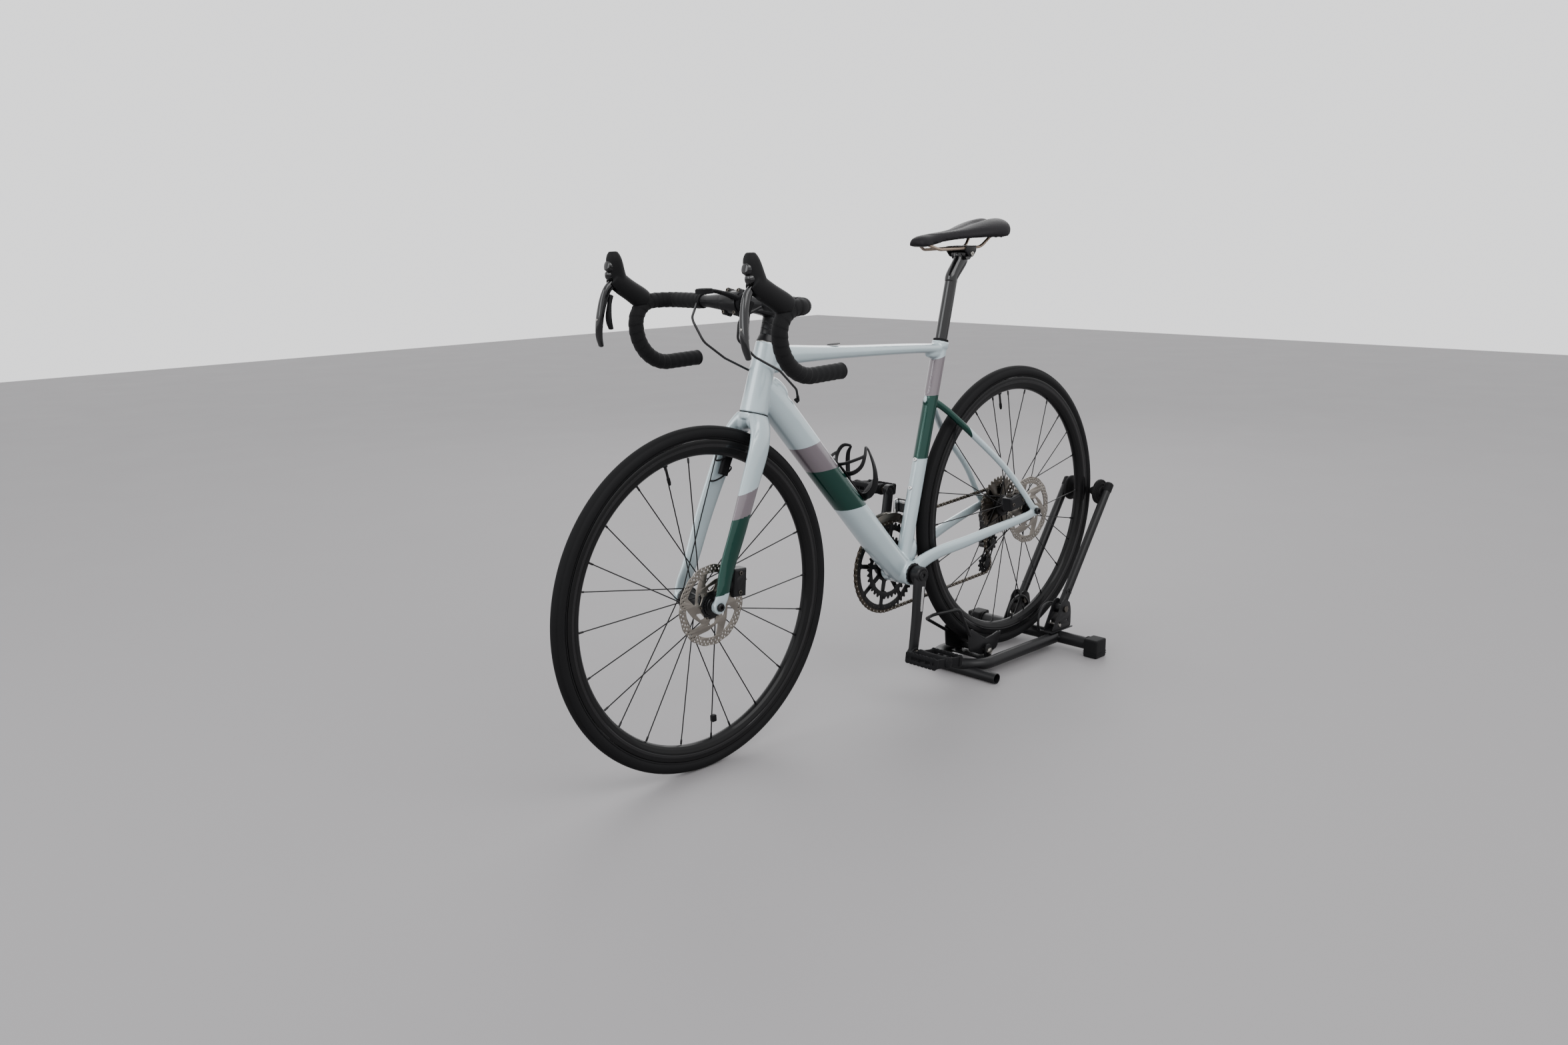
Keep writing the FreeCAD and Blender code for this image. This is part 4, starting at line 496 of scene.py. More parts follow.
def plate(outlines, thick, centre, along=None, up=None, bevel=0.25):
    """A flat piece with holes: outlines in millimetres in the plane of `along` and `up`, thick across it."""
    along, up = along or AHEAD, up or UP
    data = bpy.data.curves.new("plate", "CURVE")
    data.dimensions = "2D"
    data.fill_mode = "BOTH"
    data.extrude = max(thick / 2 - bevel, 0.01)
    data.bevel_depth = bevel
    data.bevel_resolution = 1
    for outline in outlines:
        spline = data.splines.new("POLY")
        spline.points.add(len(outline) - 1)
        for point, (x, y) in zip(spline.points, outline):
            point.co = (x, y, 0, 1)
        spline.use_cyclic_u = True
    holder = bpy.data.objects.new("plate", data)
    bpy.context.scene.collection.objects.link(holder)
    bpy.context.view_layer.update()
    mesh = bpy.data.meshes.new_from_object(holder.evaluated_get(bpy.context.evaluated_depsgraph_get()))
    normal = along.cross(up)
    vertices = [centre + (along * v.co.x + up * v.co.y + normal * v.co.z) * MM for v in mesh.vertices]
    faces = [tuple(face.vertices) for face in mesh.polygons]
    bpy.data.objects.remove(holder)
    bpy.data.curves.remove(data)
    bpy.data.meshes.remove(mesh)
    return vertices, faces


def brick(centre, size, along=None, up=None, bevel=1.0, segments=2):
    """A box with rounded edges, centred on a point, its size in millimetres along, across and up."""
    along, up = along or AHEAD, up or UP
    across = up.cross(along)
    shell = bmesh.new()
    bmesh.ops.create_cube(shell, size=1)
    bmesh.ops.scale(shell, vec=size, verts=shell.verts)
    bmesh.ops.bevel(shell, geom=shell.edges[:], offset=bevel, segments=segments, profile=0.6, affect="EDGES")
    vertices = [centre + (along * v.co.x + across * v.co.y + up * v.co.z) * MM for v in shell.verts]
    shell.verts.index_update()
    faces = [tuple(v.index for v in face.verts) for face in shell.faces]
    shell.free()
    return vertices, faces


def ring(radius, count=48, centre=(0, 0), start=0.0):
    """A flat circle of points."""
    return [(centre[0] + radius * math.cos(start + 2 * math.pi * step / count),
             centre[1] + radius * math.sin(start + 2 * math.pi * step / count)) for step in range(count)]


def polar(radius, degrees):
    """A flat point from its radius and its angle."""
    angle = math.radians(degrees)
    return (radius * math.cos(angle), radius * math.sin(angle))


def notched(inner, outer, teeth):
    """A round outline with pointed notches, like a lock ring's edge."""
    return [polar(outer if step % 2 else inner, step * 180 / teeth) for step in range(teeth * 2)]


def sector(inner, outer, first, last, bend, steps=0):
    """The outline between two radii and two angles, its corners rounded."""
    steps = steps or max(int((last - first) / 4), 2)
    angles = [first + (last - first) * step / steps for step in range(steps + 1)]
    points = []
    for radius, order in ((outer, angles), (inner, reversed(angles))):
        points += [(*polar(radius, angle), bend if index in (0, steps) else 0) for index,
                   angle in enumerate(order)]
    return rounded(points, bend)


def mirror_shape(shape):
    """The same shape on the bicycle's other side."""
    vertices, faces = shape
    return [Vector((v[0], -v[1], v[2])) for v in vertices], [tuple(reversed(face)) for face in faces]


def on_side(side, shape):
    return shape if side > 0 else mirror_shape(shape)


def node_shape(name):
    mesh = frame["nodes"][name].data
    return [v.co.copy() for v in mesh.vertices], [tuple(face.vertices) for face in mesh.polygons]


def melted(shapes, voxel, rounds):
    """Several shapes grown into one skin, its inside corners filled like laid-up carbon."""
    group = Build()
    for shape in shapes:
        group.add(shape, "paint_pale")
    mesh = bpy.data.meshes.new("melted")
    mesh.from_pydata(group.vertices, [], group.faces)
    holder = bpy.data.objects.new("melted", mesh)
    bpy.context.scene.collection.objects.link(holder)
    remesh = holder.modifiers.new("Remesh", "REMESH")
    remesh.mode = "VOXEL"
    remesh.voxel_size = voxel * MM
    smooth = holder.modifiers.new("Smooth", "SMOOTH")
    smooth.factor = 0.5
    smooth.iterations = rounds
    bpy.context.view_layer.update()
    result = bpy.data.meshes.new_from_object(holder.evaluated_get(bpy.context.evaluated_depsgraph_get()))
    bpy.data.objects.remove(holder)
    bpy.data.meshes.remove(mesh)
    return result


def soft_piece(name, material, body, voxel=0.7, rounds=5, shown=None):
    """A moulded piece: its CAD shape with every edge melted round."""
    mesh = melted([node_shape(name)], voxel, rounds)
    mesh.shade_smooth()
    return placed(mesh, shown or name, [MATERIALS[material]], body, [name])


def painted(mesh, planes, colour_at):
    """Cuts a mesh along flat paint edges and gives each face the material that its place asks for."""
    shell = bmesh.new()
    shell.from_mesh(mesh)
    for point, normal, reach in planes:
        near = [face for face in shell.faces if (face.calc_center_median() - point).length < reach]
        geometry = near + [e for e in shell.edges if (e.verts[0].co - point).length < reach]
        geometry += [v for v in shell.verts if (v.co - point).length < reach]
        bmesh.ops.bisect_plane(shell, geom=geometry, plane_co=point, plane_no=normal, dist=1e-6)
    for face in shell.faces:
        face.material_index = colour_at(in_bike(face.calc_center_median()))
        face.smooth = True
    shell.to_mesh(mesh)
    shell.free()
    return mesh


# ---------------------------------------------------------------- wheels
SPOKE_COUNT = 12
SPOKE_STEP = 360 / SPOKE_COUNT
SPOKE_CROSSING = 58
SPOKE_RADIUS = 1.25
NIPPLE_LENGTH = 11
WHEEL_FACETS = 180
TYRE_SMALL_RADIUS = 14.0
BEAD = 314.0
RIM_INNER = 284.0
ROTOR_ARMS = 6
ROTOR_THICK = 1.8
ROTOR_HOLE_ROWS = 48
MAGNET_ANGLE = -96


def tyre_shapes(axle):
    """Casing and tread as two skins that meet at a fine moulded line."""
    middle = TYRE_RADIUS - TYRE_SMALL_RADIUS

    def arc(first, last, extra, steps):
        angles = [math.radians(first + (last - first) * step / steps) for step in range(steps + 1)]
        radius = TYRE_SMALL_RADIUS + extra
        return [(middle + radius * math.cos(angle), radius * math.sin(angle), 0) for angle in angles]

    tread = arc(-48, 48, 0.0, 22) + arc(48, -48, -1.2, 12)
    wall = arc(46, 150, -0.35, 16) + arc(150, 46, -2.0, 12)
    other = [(radius, -along, 0) for radius, along, _ in wall]
    return [turned(outline, axle, count=WHEEL_FACETS) for outline in (tread, wall, other)]


def make_tyre(name, axle, body):
    tread, left_wall, right_wall = tyre_shapes(axle)
    group = Build().add(tread, "tyre").add(left_wall, "tyre_wall").add(right_wall, "tyre_wall")
    for side in (1, -1):
        rib = [(BEAD + 1.5, 11.6, 0), (BEAD + 4.2, 12.4, 0), (BEAD + 4.2, 11.2, 0), (BEAD + 1.5, 10.6, 0)]
        group.add(turned(sided(side, rib), axle, count=WHEEL_FACETS, bend=0.2), "tyre_wall")
    group.piece(name, body, "tyre_black", [name])


def wheel_point(axle, radius, degrees, along):
    angle = math.radians(degrees)
    return axle + (AHEAD * radius * math.cos(angle) + UP * radius * math.sin(angle) + LEFT * along) * MM


def make_rim(name, axle, body, valve_angle):
    """A deep carbon rim with polished bands, and the valve that stands out of it."""
    half = [(BEAD + 1.2, 12.2), (BEAD - 3, 12.9), (304, 13.1), (297, 12.3), (290, 9.9), (286, 6.2),
            (RIM_INNER, 1.5)]
    outline = [(r, y, 2) for r, y in half] + [(r, -y, 2) for r, y in reversed(half)]
    outline += [(BEAD - 2, -9.5, 1), (BEAD - 2, 9.5, 1)]
    group = Build().add(turned(outline, axle, count=WHEEL_FACETS, bend=2), "rim")
    for side in (1, -1):
        band = [(306, 12.4), (306, 13.25), (301, 13.05), (299.5, 12)]
        group.add(turned(sided(side, band), axle, count=WHEEL_FACETS, bend=0.15), "rim_gloss")
    inward = (axle - wheel_point(axle, RIM_INNER, valve_angle, 0)).normalized()
    foot = wheel_point(axle, RIM_INNER + 3, valve_angle, 0)
    group.add(knob(foot, inward, 4.6, 5.5, 0.6, 24), "anodised")
    group.add(knob(foot + inward * 4 * MM, inward, 2.6, 30, 0.3, 20), "anodised")
    cap = [(0, 0, 0), (3.4, 0), (3.4, 9), (2.4, 14), (0, 15, 0)]
    group.add(turned(cap, foot + inward * 28 * MM, inward, 20, False), "matt_black")
    group.piece(name, body, "rim_black", [name])


def make_spokes(name, axle, body, flanges):
    """Crossed steel spokes with bent heads at the hub and nipples at the rim."""
    group = Build()
    for flange_y, flange_radius, phase in flanges:
        for index in range(SPOKE_COUNT):
            lean = 1 if index % 2 else -1
            hub_angle = index * SPOKE_STEP + phase
            rim_angle = hub_angle + lean * SPOKE_CROSSING
            start = wheel_point(axle, flange_radius, hub_angle, flange_y + lean * 2.2)
            end = wheel_point(axle, RIM_INNER - 0.5, rim_angle, math.copysign(2.0, flange_y))
            group.add(tube([start, start.lerp(end, 0.5), end], SPOKE_RADIUS, 8), "spoke")
            along = (end - start).normalized()
            nipple = [(0, 0, 0), (1.3, 0), (2.1, 2.5), (2.1, NIPPLE_LENGTH), (0, NIPPLE_LENGTH, 0)]
            group.add(turned(nipple, end - along * NIPPLE_LENGTH * MM, along, 12, False, 0.3), "anodised")
            head = wheel_point(axle, flange_radius, hub_angle, flange_y - lean * 3.0)
            group.add(tube([head, start], 1.1, 8), "spoke")
            group.add(knob(head, -LEFT * lean, 2.3, 1.1, 0.4, 12), "spoke")
    group.piece(name, body, "spoke_steel", [name])


def make_hub(name, axle, body, outline, flange_ys, flange_radius):
    """A turned hub shell with a ring of eyelets in each flange."""
    group = Build().add(turned([(r, y) for y, r in outline], axle, count=96, bend=1.4), "anodised")
    for flange_y in flange_ys:
        for index in range(SPOKE_COUNT):
            point = wheel_point(axle, flange_radius, index * SPOKE_STEP, flange_y)
            group.add(sleeve(point, LEFT, 1.5, 2.4, -2.9, 2.9, 12, 0.2), "anodised")
    group.piece(name, body, "hub_black", [name])


def make_rotor(name, axle, y, body):
    """A vented steel braking track on slanting arms, a black carrier and its splined lock ring."""
    outer = [polar(79.3 + 0.7 * math.cos(math.radians(15 * angle)), angle) for angle in range(0, 360, 2)]
    outlines = [outer, ring(24.5, 72)]
    for arm in range(ROTOR_ARMS):
        start = arm * 360 / ROTOR_ARMS
        large = [polar(41, start + 9), polar(43, start + 26), polar(50, start + 44), polar(63.5, start + 66)]
        large += [polar(63.5, start + 61.5 - step * 6.3) for step in range(7)]
        outlines.append(rounded([(*p, 2.5 if i in (0, 3, 10) else 0) for i, p in enumerate(large)], 2.5))
        small = [polar(29, start + 8), polar(29, start + 40), polar(42, start + 48), polar(37, start + 22)]
        outlines.append(rounded(small, 2))
    for index in range(ROTOR_HOLE_ROWS):
        angle = index * 360 / ROTOR_HOLE_ROWS
        outlines.append(ring(2.0, 12, polar(76.4, angle)))
        outlines.append(ring(2.15, 12, polar(71.2, angle + 3.6)))
        if index % 4 < 2:
            outlines.append(ring(1.7, 10, polar(66.3, angle + 0.6)))
    middle = axle + LEFT * y * MM
    group = Build().add(plate(outlines, ROTOR_THICK, middle, bevel=0.15), "rotor")
    group.add(plate([notched(25.5, 27.5, 12), ring(17.6, 60)], 3.2, middle, bevel=0.5), "anodised")
    for arm in range(ROTOR_ARMS):
        spot = wheel_point(axle, 26.5, arm * 360 / ROTOR_ARMS, y + 1.2)
        group.add(knob(spot, LEFT, 2.4, 1.4, 0.4, 16), "dark_steel")
    lock = notched(19.6, 21, 24)
    group.add(plate([lock, ring(14.5, 48)], 2.4, middle + LEFT * 2.9 * MM, bevel=0.3), "anodised")
    group.piece(name, body, "rotor_steel", [name])


def make_thru_axles():
    """Hollow axles through both hubs, each with a socket head on the left."""
    for name, axle, body, head_y, reach in (("front_thru_axle", FRONT_AXLE, "steering", 60.5, -61),
                                            ("rear_thru_axle", REAR_AXLE, "bike_frame", 80.9, -79)):
        group = Build()
        shaft = [(4.2, reach), (5.9, reach), (5.9, head_y + 1), (4.2, head_y + 1)]
        group.add(turned(shaft, axle, count=40, bend=0.4), "anodised")
        head = [(3.2, head_y, 0), (7.9, head_y), (7.9, head_y + 5), (6.6, head_y + 6.6), (3.4, head_y + 6.6),
                (3.2, head_y + 2, 0)]
        group.add(turned(head, axle, count=40, bend=0.5), "anodised")
        socket = [(0, head_y + 1.2, 0), (3.3, head_y + 1.2, 0), (3.3, head_y + 2, 0), (0, head_y + 2, 0)]
        group.add(turned(socket, axle, count=6, bend=0), "satin_black")
        group.piece(name + "_shown", body, "axle_black", [name])


FRONT_HUB = ((-49.6, 6.1), (-49.6, 9), (-37.5, 9.5), (-36, 23.5), (-31, 23.5), (-28, 14), (-20, 11.5),
             (12, 11.5), (19, 14), (22, 23.5), (27, 23.5), (28.5, 17), (34, 16.5), (34, 17.4), (38, 17.4),
             (41, 14), (42.5, 9), (49.6, 9), (49.6, 6.1))
REAR_HUB = ((-26.4, 6.1), (-26.4, 13), (-24, 18), (-22, 26), (-17, 26), (-13, 17), (-6, 14), (22, 14),
            (30, 18), (32, 25), (37, 25), (39, 17), (54, 17), (54, 17.4), (58, 17.4), (61, 14), (62.5, 9),
            (70.6, 9), (70.6, 6.1))
WHEELS = {
    "front": {"axle": FRONT_AXLE, "valve": 77, "flanges": ((24.5, 21, 0), (-33.5, 21, 15)), "hub": FRONT_HUB,
              "hub_holes": 21, "rotor_y": 36},
    "rear": {"axle": REAR_AXLE, "valve": 82, "flanges": ((34.5, 22, 0), (-19.5, 23, 15)), "hub": REAR_HUB,
             "hub_holes": 22.5, "rotor_y": 56}}


def make_wheels():
    for word, wheel in WHEELS.items():
        axle, body = wheel["axle"], f"{word}_wheel"
        make_tyre(f"{word}_tyre", axle, body)
        make_rim(f"{word}_rim", axle, body, wheel["valve"])
        make_spokes(f"{word}_spokes", axle, body, wheel["flanges"])
        flange_ys = [flange[0] for flange in wheel["flanges"]]
        make_hub(f"{word}_hub", axle, body, wheel["hub"], flange_ys, wheel["hub_holes"])
        make_rotor(f"{word}_rotor", axle, wheel["rotor_y"], body)
    make_thru_axles()
    magnet = wheel_point(FRONT_AXLE, 252, MAGNET_ANGLE, -7)
    group = Build().add(brick(magnet, (11, 9, 14), bevel=2), "matt_black")
    group.piece("spoke_magnet", "front_wheel", "spoke_steel")


# ---------------------------------------------------------------- frame and fork
PAINT_ORDER = ["paint_pale", "paint_plum", "paint_green"]
PALE, PLUM, GREEN = range(3)


def edge(x, z, x2, z2, reach):
    """A paint edge seen from the side, from one point to another, as a cutting plane with a reach."""
    first, second = bike(x, 0, z), bike(x2, 0, z2)
    normal = LEFT.cross((second - first).normalized())
    return first.lerp(second, 0.5), normal, reach * MM


def above(place, x, z, x2, z2):
    return place.z > z + (z2 - z) * (place.x - x) / (x2 - x)


DOWN_EDGES = ((263, 337.7, 351, 324.4), (218.3, 276, 300.5, 272.4), (128.9, 180.5, 221.4, 176.2))
SEAT_EDGES = ((-160, 470, -60, 446), (-140, 382.5, -77.6, 381.7), (-82.2, 245.5, -38.4, 246.8))
FORK_EDGES = ((483, 281.5, 532, 272.6), (502.9, 234.6, 541.3, 230.6), (575, 95.7, 605.8, 93.9))
STAY_EDGE = (-206, 260, -190, 310)
HEAD_LENGTH = 140
BOTTLE_BOLTS = (186, 250)


def frame_colour(place):
    x, y, z = place
    on_seat_tube = x < -z * 0.294 + 19
    if x < -z * 0.294 - 17 and abs(y) > 4:
        first_x, first_z, last_x, last_z = STAY_EDGE
        stay_green = (x - first_x) * (last_z - first_z) > (z - first_z) * (last_x - first_x)
        return GREEN if y > 0 and z > 150 and stay_green else PALE
    if on_seat_tube:
        if z > 120 and not above(place, *SEAT_EDGES[0]) and above(place, *SEAT_EDGES[1]):
            return PLUM
        if above(place, *SEAT_EDGES[2]) and not above(place, *SEAT_EDGES[1]):
            return GREEN
        return PALE
    if above(place, -140, 440, 380, 470) or x < 60:
        return PALE
    if above(place, *DOWN_EDGES[0]) or not above(place, *DOWN_EDGES[2]):
        return PALE
    return PLUM if above(place, *DOWN_EDGES[1]) else GREEN


def fork_colour(place):
    if place.y < 0 or above(place, *FORK_EDGES[0]) or not above(place, *FORK_EDGES[2]):
        return PALE
    return PLUM if above(place, *FORK_EDGES[1]) else GREEN


def blob(place, wide, high, long, towards):
    """A swelling that fills the corner between tubes."""
    reach = towards.normalized() * long * MM
    swell = ((-1, 0.55), (-0.5, 0.92), (0, 1), (0.5, 0.92), (1, 0.55))
    return loft([(place + reach * share, wide * size, high * size) for share, size in swell], 24, 4)


def make_frame():
    """The carbon frame as one skin, front triangle and stays, its paint in bands."""
    corners = [
        blob(bike(12, 0, 16), 29, 24, 30, AHEAD + UP), blob(bike(-26, 0, 40), 17, 20, 30, UP * 3 - AHEAD),
        blob(bike(368, 0, 452), 22, 22, 34, AHEAD + UP), blob(bike(366, 0, 500), 17, 14, 30, AHEAD),
        blob(bike(-122, 0, 474), 14, 12, 22, AHEAD), blob(bike(-102, 0, 366), 11, 13, 20, UP)]
    shapes = [node_shape("frame_front_triangle"), node_shape("frame_rear_triangle")] + corners
    mesh = melted(shapes, voxel=1.9, rounds=7)
    planes = [edge(*ends, 75) for ends in DOWN_EDGES] + [edge(*ends, 60) for ends in SEAT_EDGES]
    planes.append(edge(*STAY_EDGE, 70))
    painted(mesh, planes, frame_colour)
    placed(mesh, "frame", [MATERIALS[key] for key in PAINT_ORDER], "bike_frame",
           ["frame_front_triangle", "frame_rear_triangle"])
    make_frame_fittings()


def make_frame_fittings():
    """Bottle bolts, cable ports, a cover on the top tube and the seat tube's collar."""
    group = Build()
    for height in BOTTLE_BOLTS:
        face = BRACKET + SEAT_UP * height * MM + SEAT_AHEAD * 15.6 * MM
        group.add(turned([(0, 0, 0), (5.2, 0), (5.2, 1.2), (4.3, 3.4), (2.2, 3.4, 0), (2, 1.4, 0),
                          (0, 1.4, 0)], face, SEAT_AHEAD, 28, False, 0.4), "silver")
    for side in (1, -1):
        port = bike(322, side * 15, 428)
        rim_out = (UP * 0.66 - AHEAD * 0.5 + LEFT * side * 0.55).normalized()
        group.add(turned([(2.6, -3), (5.4, -3), (5.0, 2.2), (2.6, 3.2)], port, rim_out, 28, True, 0.6),
                  "rubber")
    cover = bike(196, 0, 526.2)
    oval = [(17 * math.cos(a), 8.5 * math.sin(a)) for a in np.linspace(0, 2 * math.pi, 40, endpoint=False)]
    group.add(plate([oval], 1.2, cover, AHEAD, LEFT, 0.3), "matt_black")
    collar = BRACKET + SEAT_UP * 519 * MM
    group.add(turned([(13.7, -6), (17.4, -6), (17.2, 3.5), (15.2, 4.6), (13.7, 3.5)], collar, SEAT_UP, 64,
                     True, 0.6), "rubber")
    group.piece("frame_fittings", "bike_frame", "black_alloy", sharp=30)


def make_fork():
    """Fork legs, crown and steerer as one skin; the left leg carries the painted bands."""
    crown = [blob(bike(431, side * 16, 400), 17, 22, 22, LEFT * side - UP * 0.8) for side in (1, -1)]
    mesh = melted([node_shape("fork")] + crown, voxel=1.7, rounds=6)
    painted(mesh, [edge(*ends, 60) for ends in FORK_EDGES], fork_colour)
    placed(mesh, "fork_shown", [MATERIALS[key] for key in PAINT_ORDER], "steering", ["fork"])


def make_bearings():
    """Headset covers and the crank bearings' cups with their seals."""
    group = Build()
    low = HEAD_TOP - STEER_UP * HEAD_LENGTH * MM
    group.add(turned([(15, -0.9), (28.2, -0.9), (28.4, 0.4), (15, 0.4)], low, STEER_UP, 80, True, 0.3),
              "rubber")
    group.add(sleeve(HEAD_TOP, STEER_UP, 14.4, 19.4, -8, 0.5, 64, 0.4), "steel")
    for side in (1, -1):
        cup = [(12.2, 28), (20.4, 28), (20.4, 36.5), (22.9, 36.5), (22.9, 39.5), (12.2, 39.5)]
        group.add(turned(sided(side, cup), BRACKET, count=72, bend=0.5), "anodised")
        notches = notched(22.9, 24.4, 16)
        group.add(plate([notches, ring(20, 40)], 2.6, BRACKET + LEFT * side * 38 * MM, bevel=0.3), "anodised")
    group.piece("bearings", "bike_frame", "bearing_steel", ["frame_bearings"])


# ---------------------------------------------------------------- carried-over CAD pieces
def carried(name, material, bevel=0.5, angle=40):
    """A CAD node whose shape is right: it keeps its mesh and gets a material and softened edges."""
    node = frame["nodes"][name]
    node.data.materials.clear()
    node.data.materials.append(MATERIALS[material])
    node.data.shade_smooth()
    node.data.set_sharp_from_angle(angle=math.radians(angle))
    if bevel:
        soft = node.modifiers.new("Bevel", "BEVEL")
        soft.width = bevel * MM
        soft.segments = 2
        soft.limit_method = "ANGLE"
        soft.angle_limit = math.radians(angle)
        soft.harden_normals = True
    return node


# ---------------------------------------------------------------- cockpit
BAR = (462, 0, 632)
TAPE_START = 96
TAPE_RADIUS, TAPE_LAP, TAPE_PITCH = 14.5, 0.95, 15
HALF_BAR = 203
BAR_REACH, BAR_DROP = 80, 124
BAR_RADIUS = 12
CLAMP_RADIUS = 15.9
HOOD_Y = 203.0
LEVER = (592, 197, 676)


def bar_line(start_y, step):
    """The left half of the drop bar from a distance out to the end of its drop."""
    x, _, z = BAR
    stops = ((0, start_y, 0), (0, HALF_BAR, 0), (BAR_REACH, HALF_BAR, 0), (BAR_REACH, HALF_BAR, -BAR_DROP),
             (-74, HALF_BAR, -BAR_DROP))
    return bent([bike(x + ahead, y, z + up) for ahead, y, up in stops], [34, 44, 78], step)


def make_headset_stack():
    """The spacers under the stem, the lowest one a cone."""
    group = Build()
    stack = [(0.7, 14.2, 21.8, 17.6), (14.7, 25.0, 17.6, 17.6), (25.4, 35.7, 17.6, 17.6),
             (36.1, 47.6, 17.6, 17.6)]
    for low, high, wide, narrow in stack:
        outline = [(14.4, low), (wide, low), (narrow, high), (14.4, high)]
        group.add(turned(outline, HEAD_TOP, STEER_UP, 72, True, 0.7), "satin_black")
    group.piece("headset_stack", "steering", "black_alloy", ["headset_spacers"])


def make_stem():
    """A forged stem: steerer clamp with two bolts, faceted neck, bar clamp and face plate, top cap."""
    group = Build()
    group.add(sleeve(HEAD_TOP, STEER_UP, 14.5, 18.6, 48, 88, 72, 1.4), "satin_black")
    middle = HEAD_TOP + STEER_UP * 68 * MM
    bar = bike(*BAR)
    out = (bar - middle).normalized()
    neck = [(middle + out * 12 * MM, 16.5, 18.5), (middle + out * 26 * MM, 15.6, 17),
            (middle + out * 48 * MM, 15.5, 15.4), (bar - out * 22 * MM, 18.5, 15.6),
            (bar - out * 15 * MM, 21.5, 17)]
    group.add(loft(neck, 48, 6, 4.5), "satin_black")
    for sign, first, last in ((-1, 98, 262), (1, -80, 80)):
        arc = [polar(20.6, first + (last - first) * step / 20) for step in range(21)]
        arc += [polar(16.05, last - (last - first) * step / 20) for step in range(21)]
        group.add(plate([arc], 44, bar, STEER_AHEAD, STEER_UP, 1.2), "satin_black")
        for side in (1, -1):
            for up in (1, -1):
                boss = bar + (STEER_UP * up * 21 + LEFT * side * 15 + STEER_AHEAD * sign * 5.5) * MM
                group.add(pin(boss, STEER_AHEAD, 5.2, -4.6, 4.6, 24, 1.2), "satin_black")
                if sign > 0:
                    group.add(hexagon(boss + STEER_AHEAD * 3.4 * MM, STEER_AHEAD, 3.7), "dark_steel")
    for height in (57, 79):
        place = HEAD_TOP + (STEER_UP * height - STEER_AHEAD * 17.5) * MM
        group.add(tube([place - LEFT * 11 * MM, place + LEFT * 11 * MM], 5.4, 24), "satin_black")
        group.add(hexagon(place + LEFT * 10.6 * MM, LEFT, 3.6, 1.8, 1.6), "dark_steel")
    cap = [(0, 88.4, 0), (18.4, 88.4), (18.6, 92), (17.4, 98), (6, 98.6, 0.2), (4.4, 96.4, 0), (0, 96.4, 0)]
    group.add(turned(cap, HEAD_TOP, STEER_UP, 72, False, 1.2), "anodised")
    group.add(hexagon(HEAD_TOP + STEER_UP * 95.6 * MM, STEER_UP, 4.0, 2, 2.2), "steel")
    group.piece("stem_shown", "steering", "black_alloy", ["stem"], sharp=32)


def make_handlebar():
    """The bare middle of the bar, then cork tape wound to the ends of the drops."""
    x, _, z = BAR
    group = Build()
    middle = [bike(x, y, z) for y in range(-110, 111, 4)]

    def swell(share, turn):
        away = abs(share - 0.5) * 220
        taper = max(0.0, 1 - (away - 33) / 40)
        return CLAMP_RADIUS if away < 33 else BAR_RADIUS + (CLAMP_RADIUS - BAR_RADIUS) * taper

    group.add(tube(middle, swell, 40), "satin_black")
    group.piece("bar_middle", "steering", "black_alloy", ["handlebar"])
    group = Build()
    route = bar_line(TAPE_START, 1.4)
    length = sum((after - before).length for before, after in zip(route, route[1:])) / MM
    wraps = length / TAPE_PITCH

    def wound(share, turn):
        lap = (share * wraps + turn / (2 * math.pi)) % 1.0
        return TAPE_RADIUS + TAPE_LAP * min(lap * 1.15, 1.0) * (1.0 if lap < 0.93 else (1 - lap) / 0.07)

    half = tube(route, wound, 28)
    end = route[-1]
    plug = turned([(0, -4, 0), (15.2, -4), (15.6, -1), (14, 2.2), (0, 3.2, 0)], end, -AHEAD, 48, False, 1)
    edge_outline = [(12.4, -7), (14.6, -7), (14.9, 9), (12.4, 9)]
    tape_edge = turned(edge_outline, bike(x, TAPE_START, z), count=48)
    for side in (1, -1):
        group.add(on_side(side, half), "tape")
        group.add(on_side(side, plug), "matt_black")
        group.add(on_side(side, tape_edge), "rubber")
    group.piece("handlebar_tape", "steering", "bar_tape_black", ["bar_tape"], sharp=60)


def make_hoods():
    """Rubber hoods grown from the lever bodies, with a gloss cap and knuckle in front of each."""
    soft_piece("brake_hoods", "rubber", "steering", 1.25, 9, "lever_hoods")
    group = Build()
    for side in (1, -1):
        cap = [(bike(598, HOOD_Y - 8.5, 704), 10.5, 11.5), (bike(604, HOOD_Y - 8.5, 705.5), 10.5, 11.5),
               (bike(609.5, HOOD_Y - 8.5, 707), 9, 10)]
        group.add(on_side(side, loft(cap, 40, 6, 2.2, dome=(0, 2.2))), "gloss_black")
        knuckle = [(bike(588, HOOD_Y - 5, 690), 9.4, 10), (bike(600, HOOD_Y - 5, 688.6), 9.4, 9.5),
                   (bike(607, HOOD_Y - 5, 687.8), 8, 8)]
        group.add(on_side(side, loft(knuckle, 40, 6, 2.4, dome=(0, 3))), "gloss_black")
        pivot_pin = tube([bike(LEVER[0] + 3, LEVER[1] + end, LEVER[2] - 1) for end in (-8, 8)], 2.6, 16)
        group.add(on_side(side, pivot_pin), "steel")
    group.piece("lever_bodies", "steering", "lever_black")


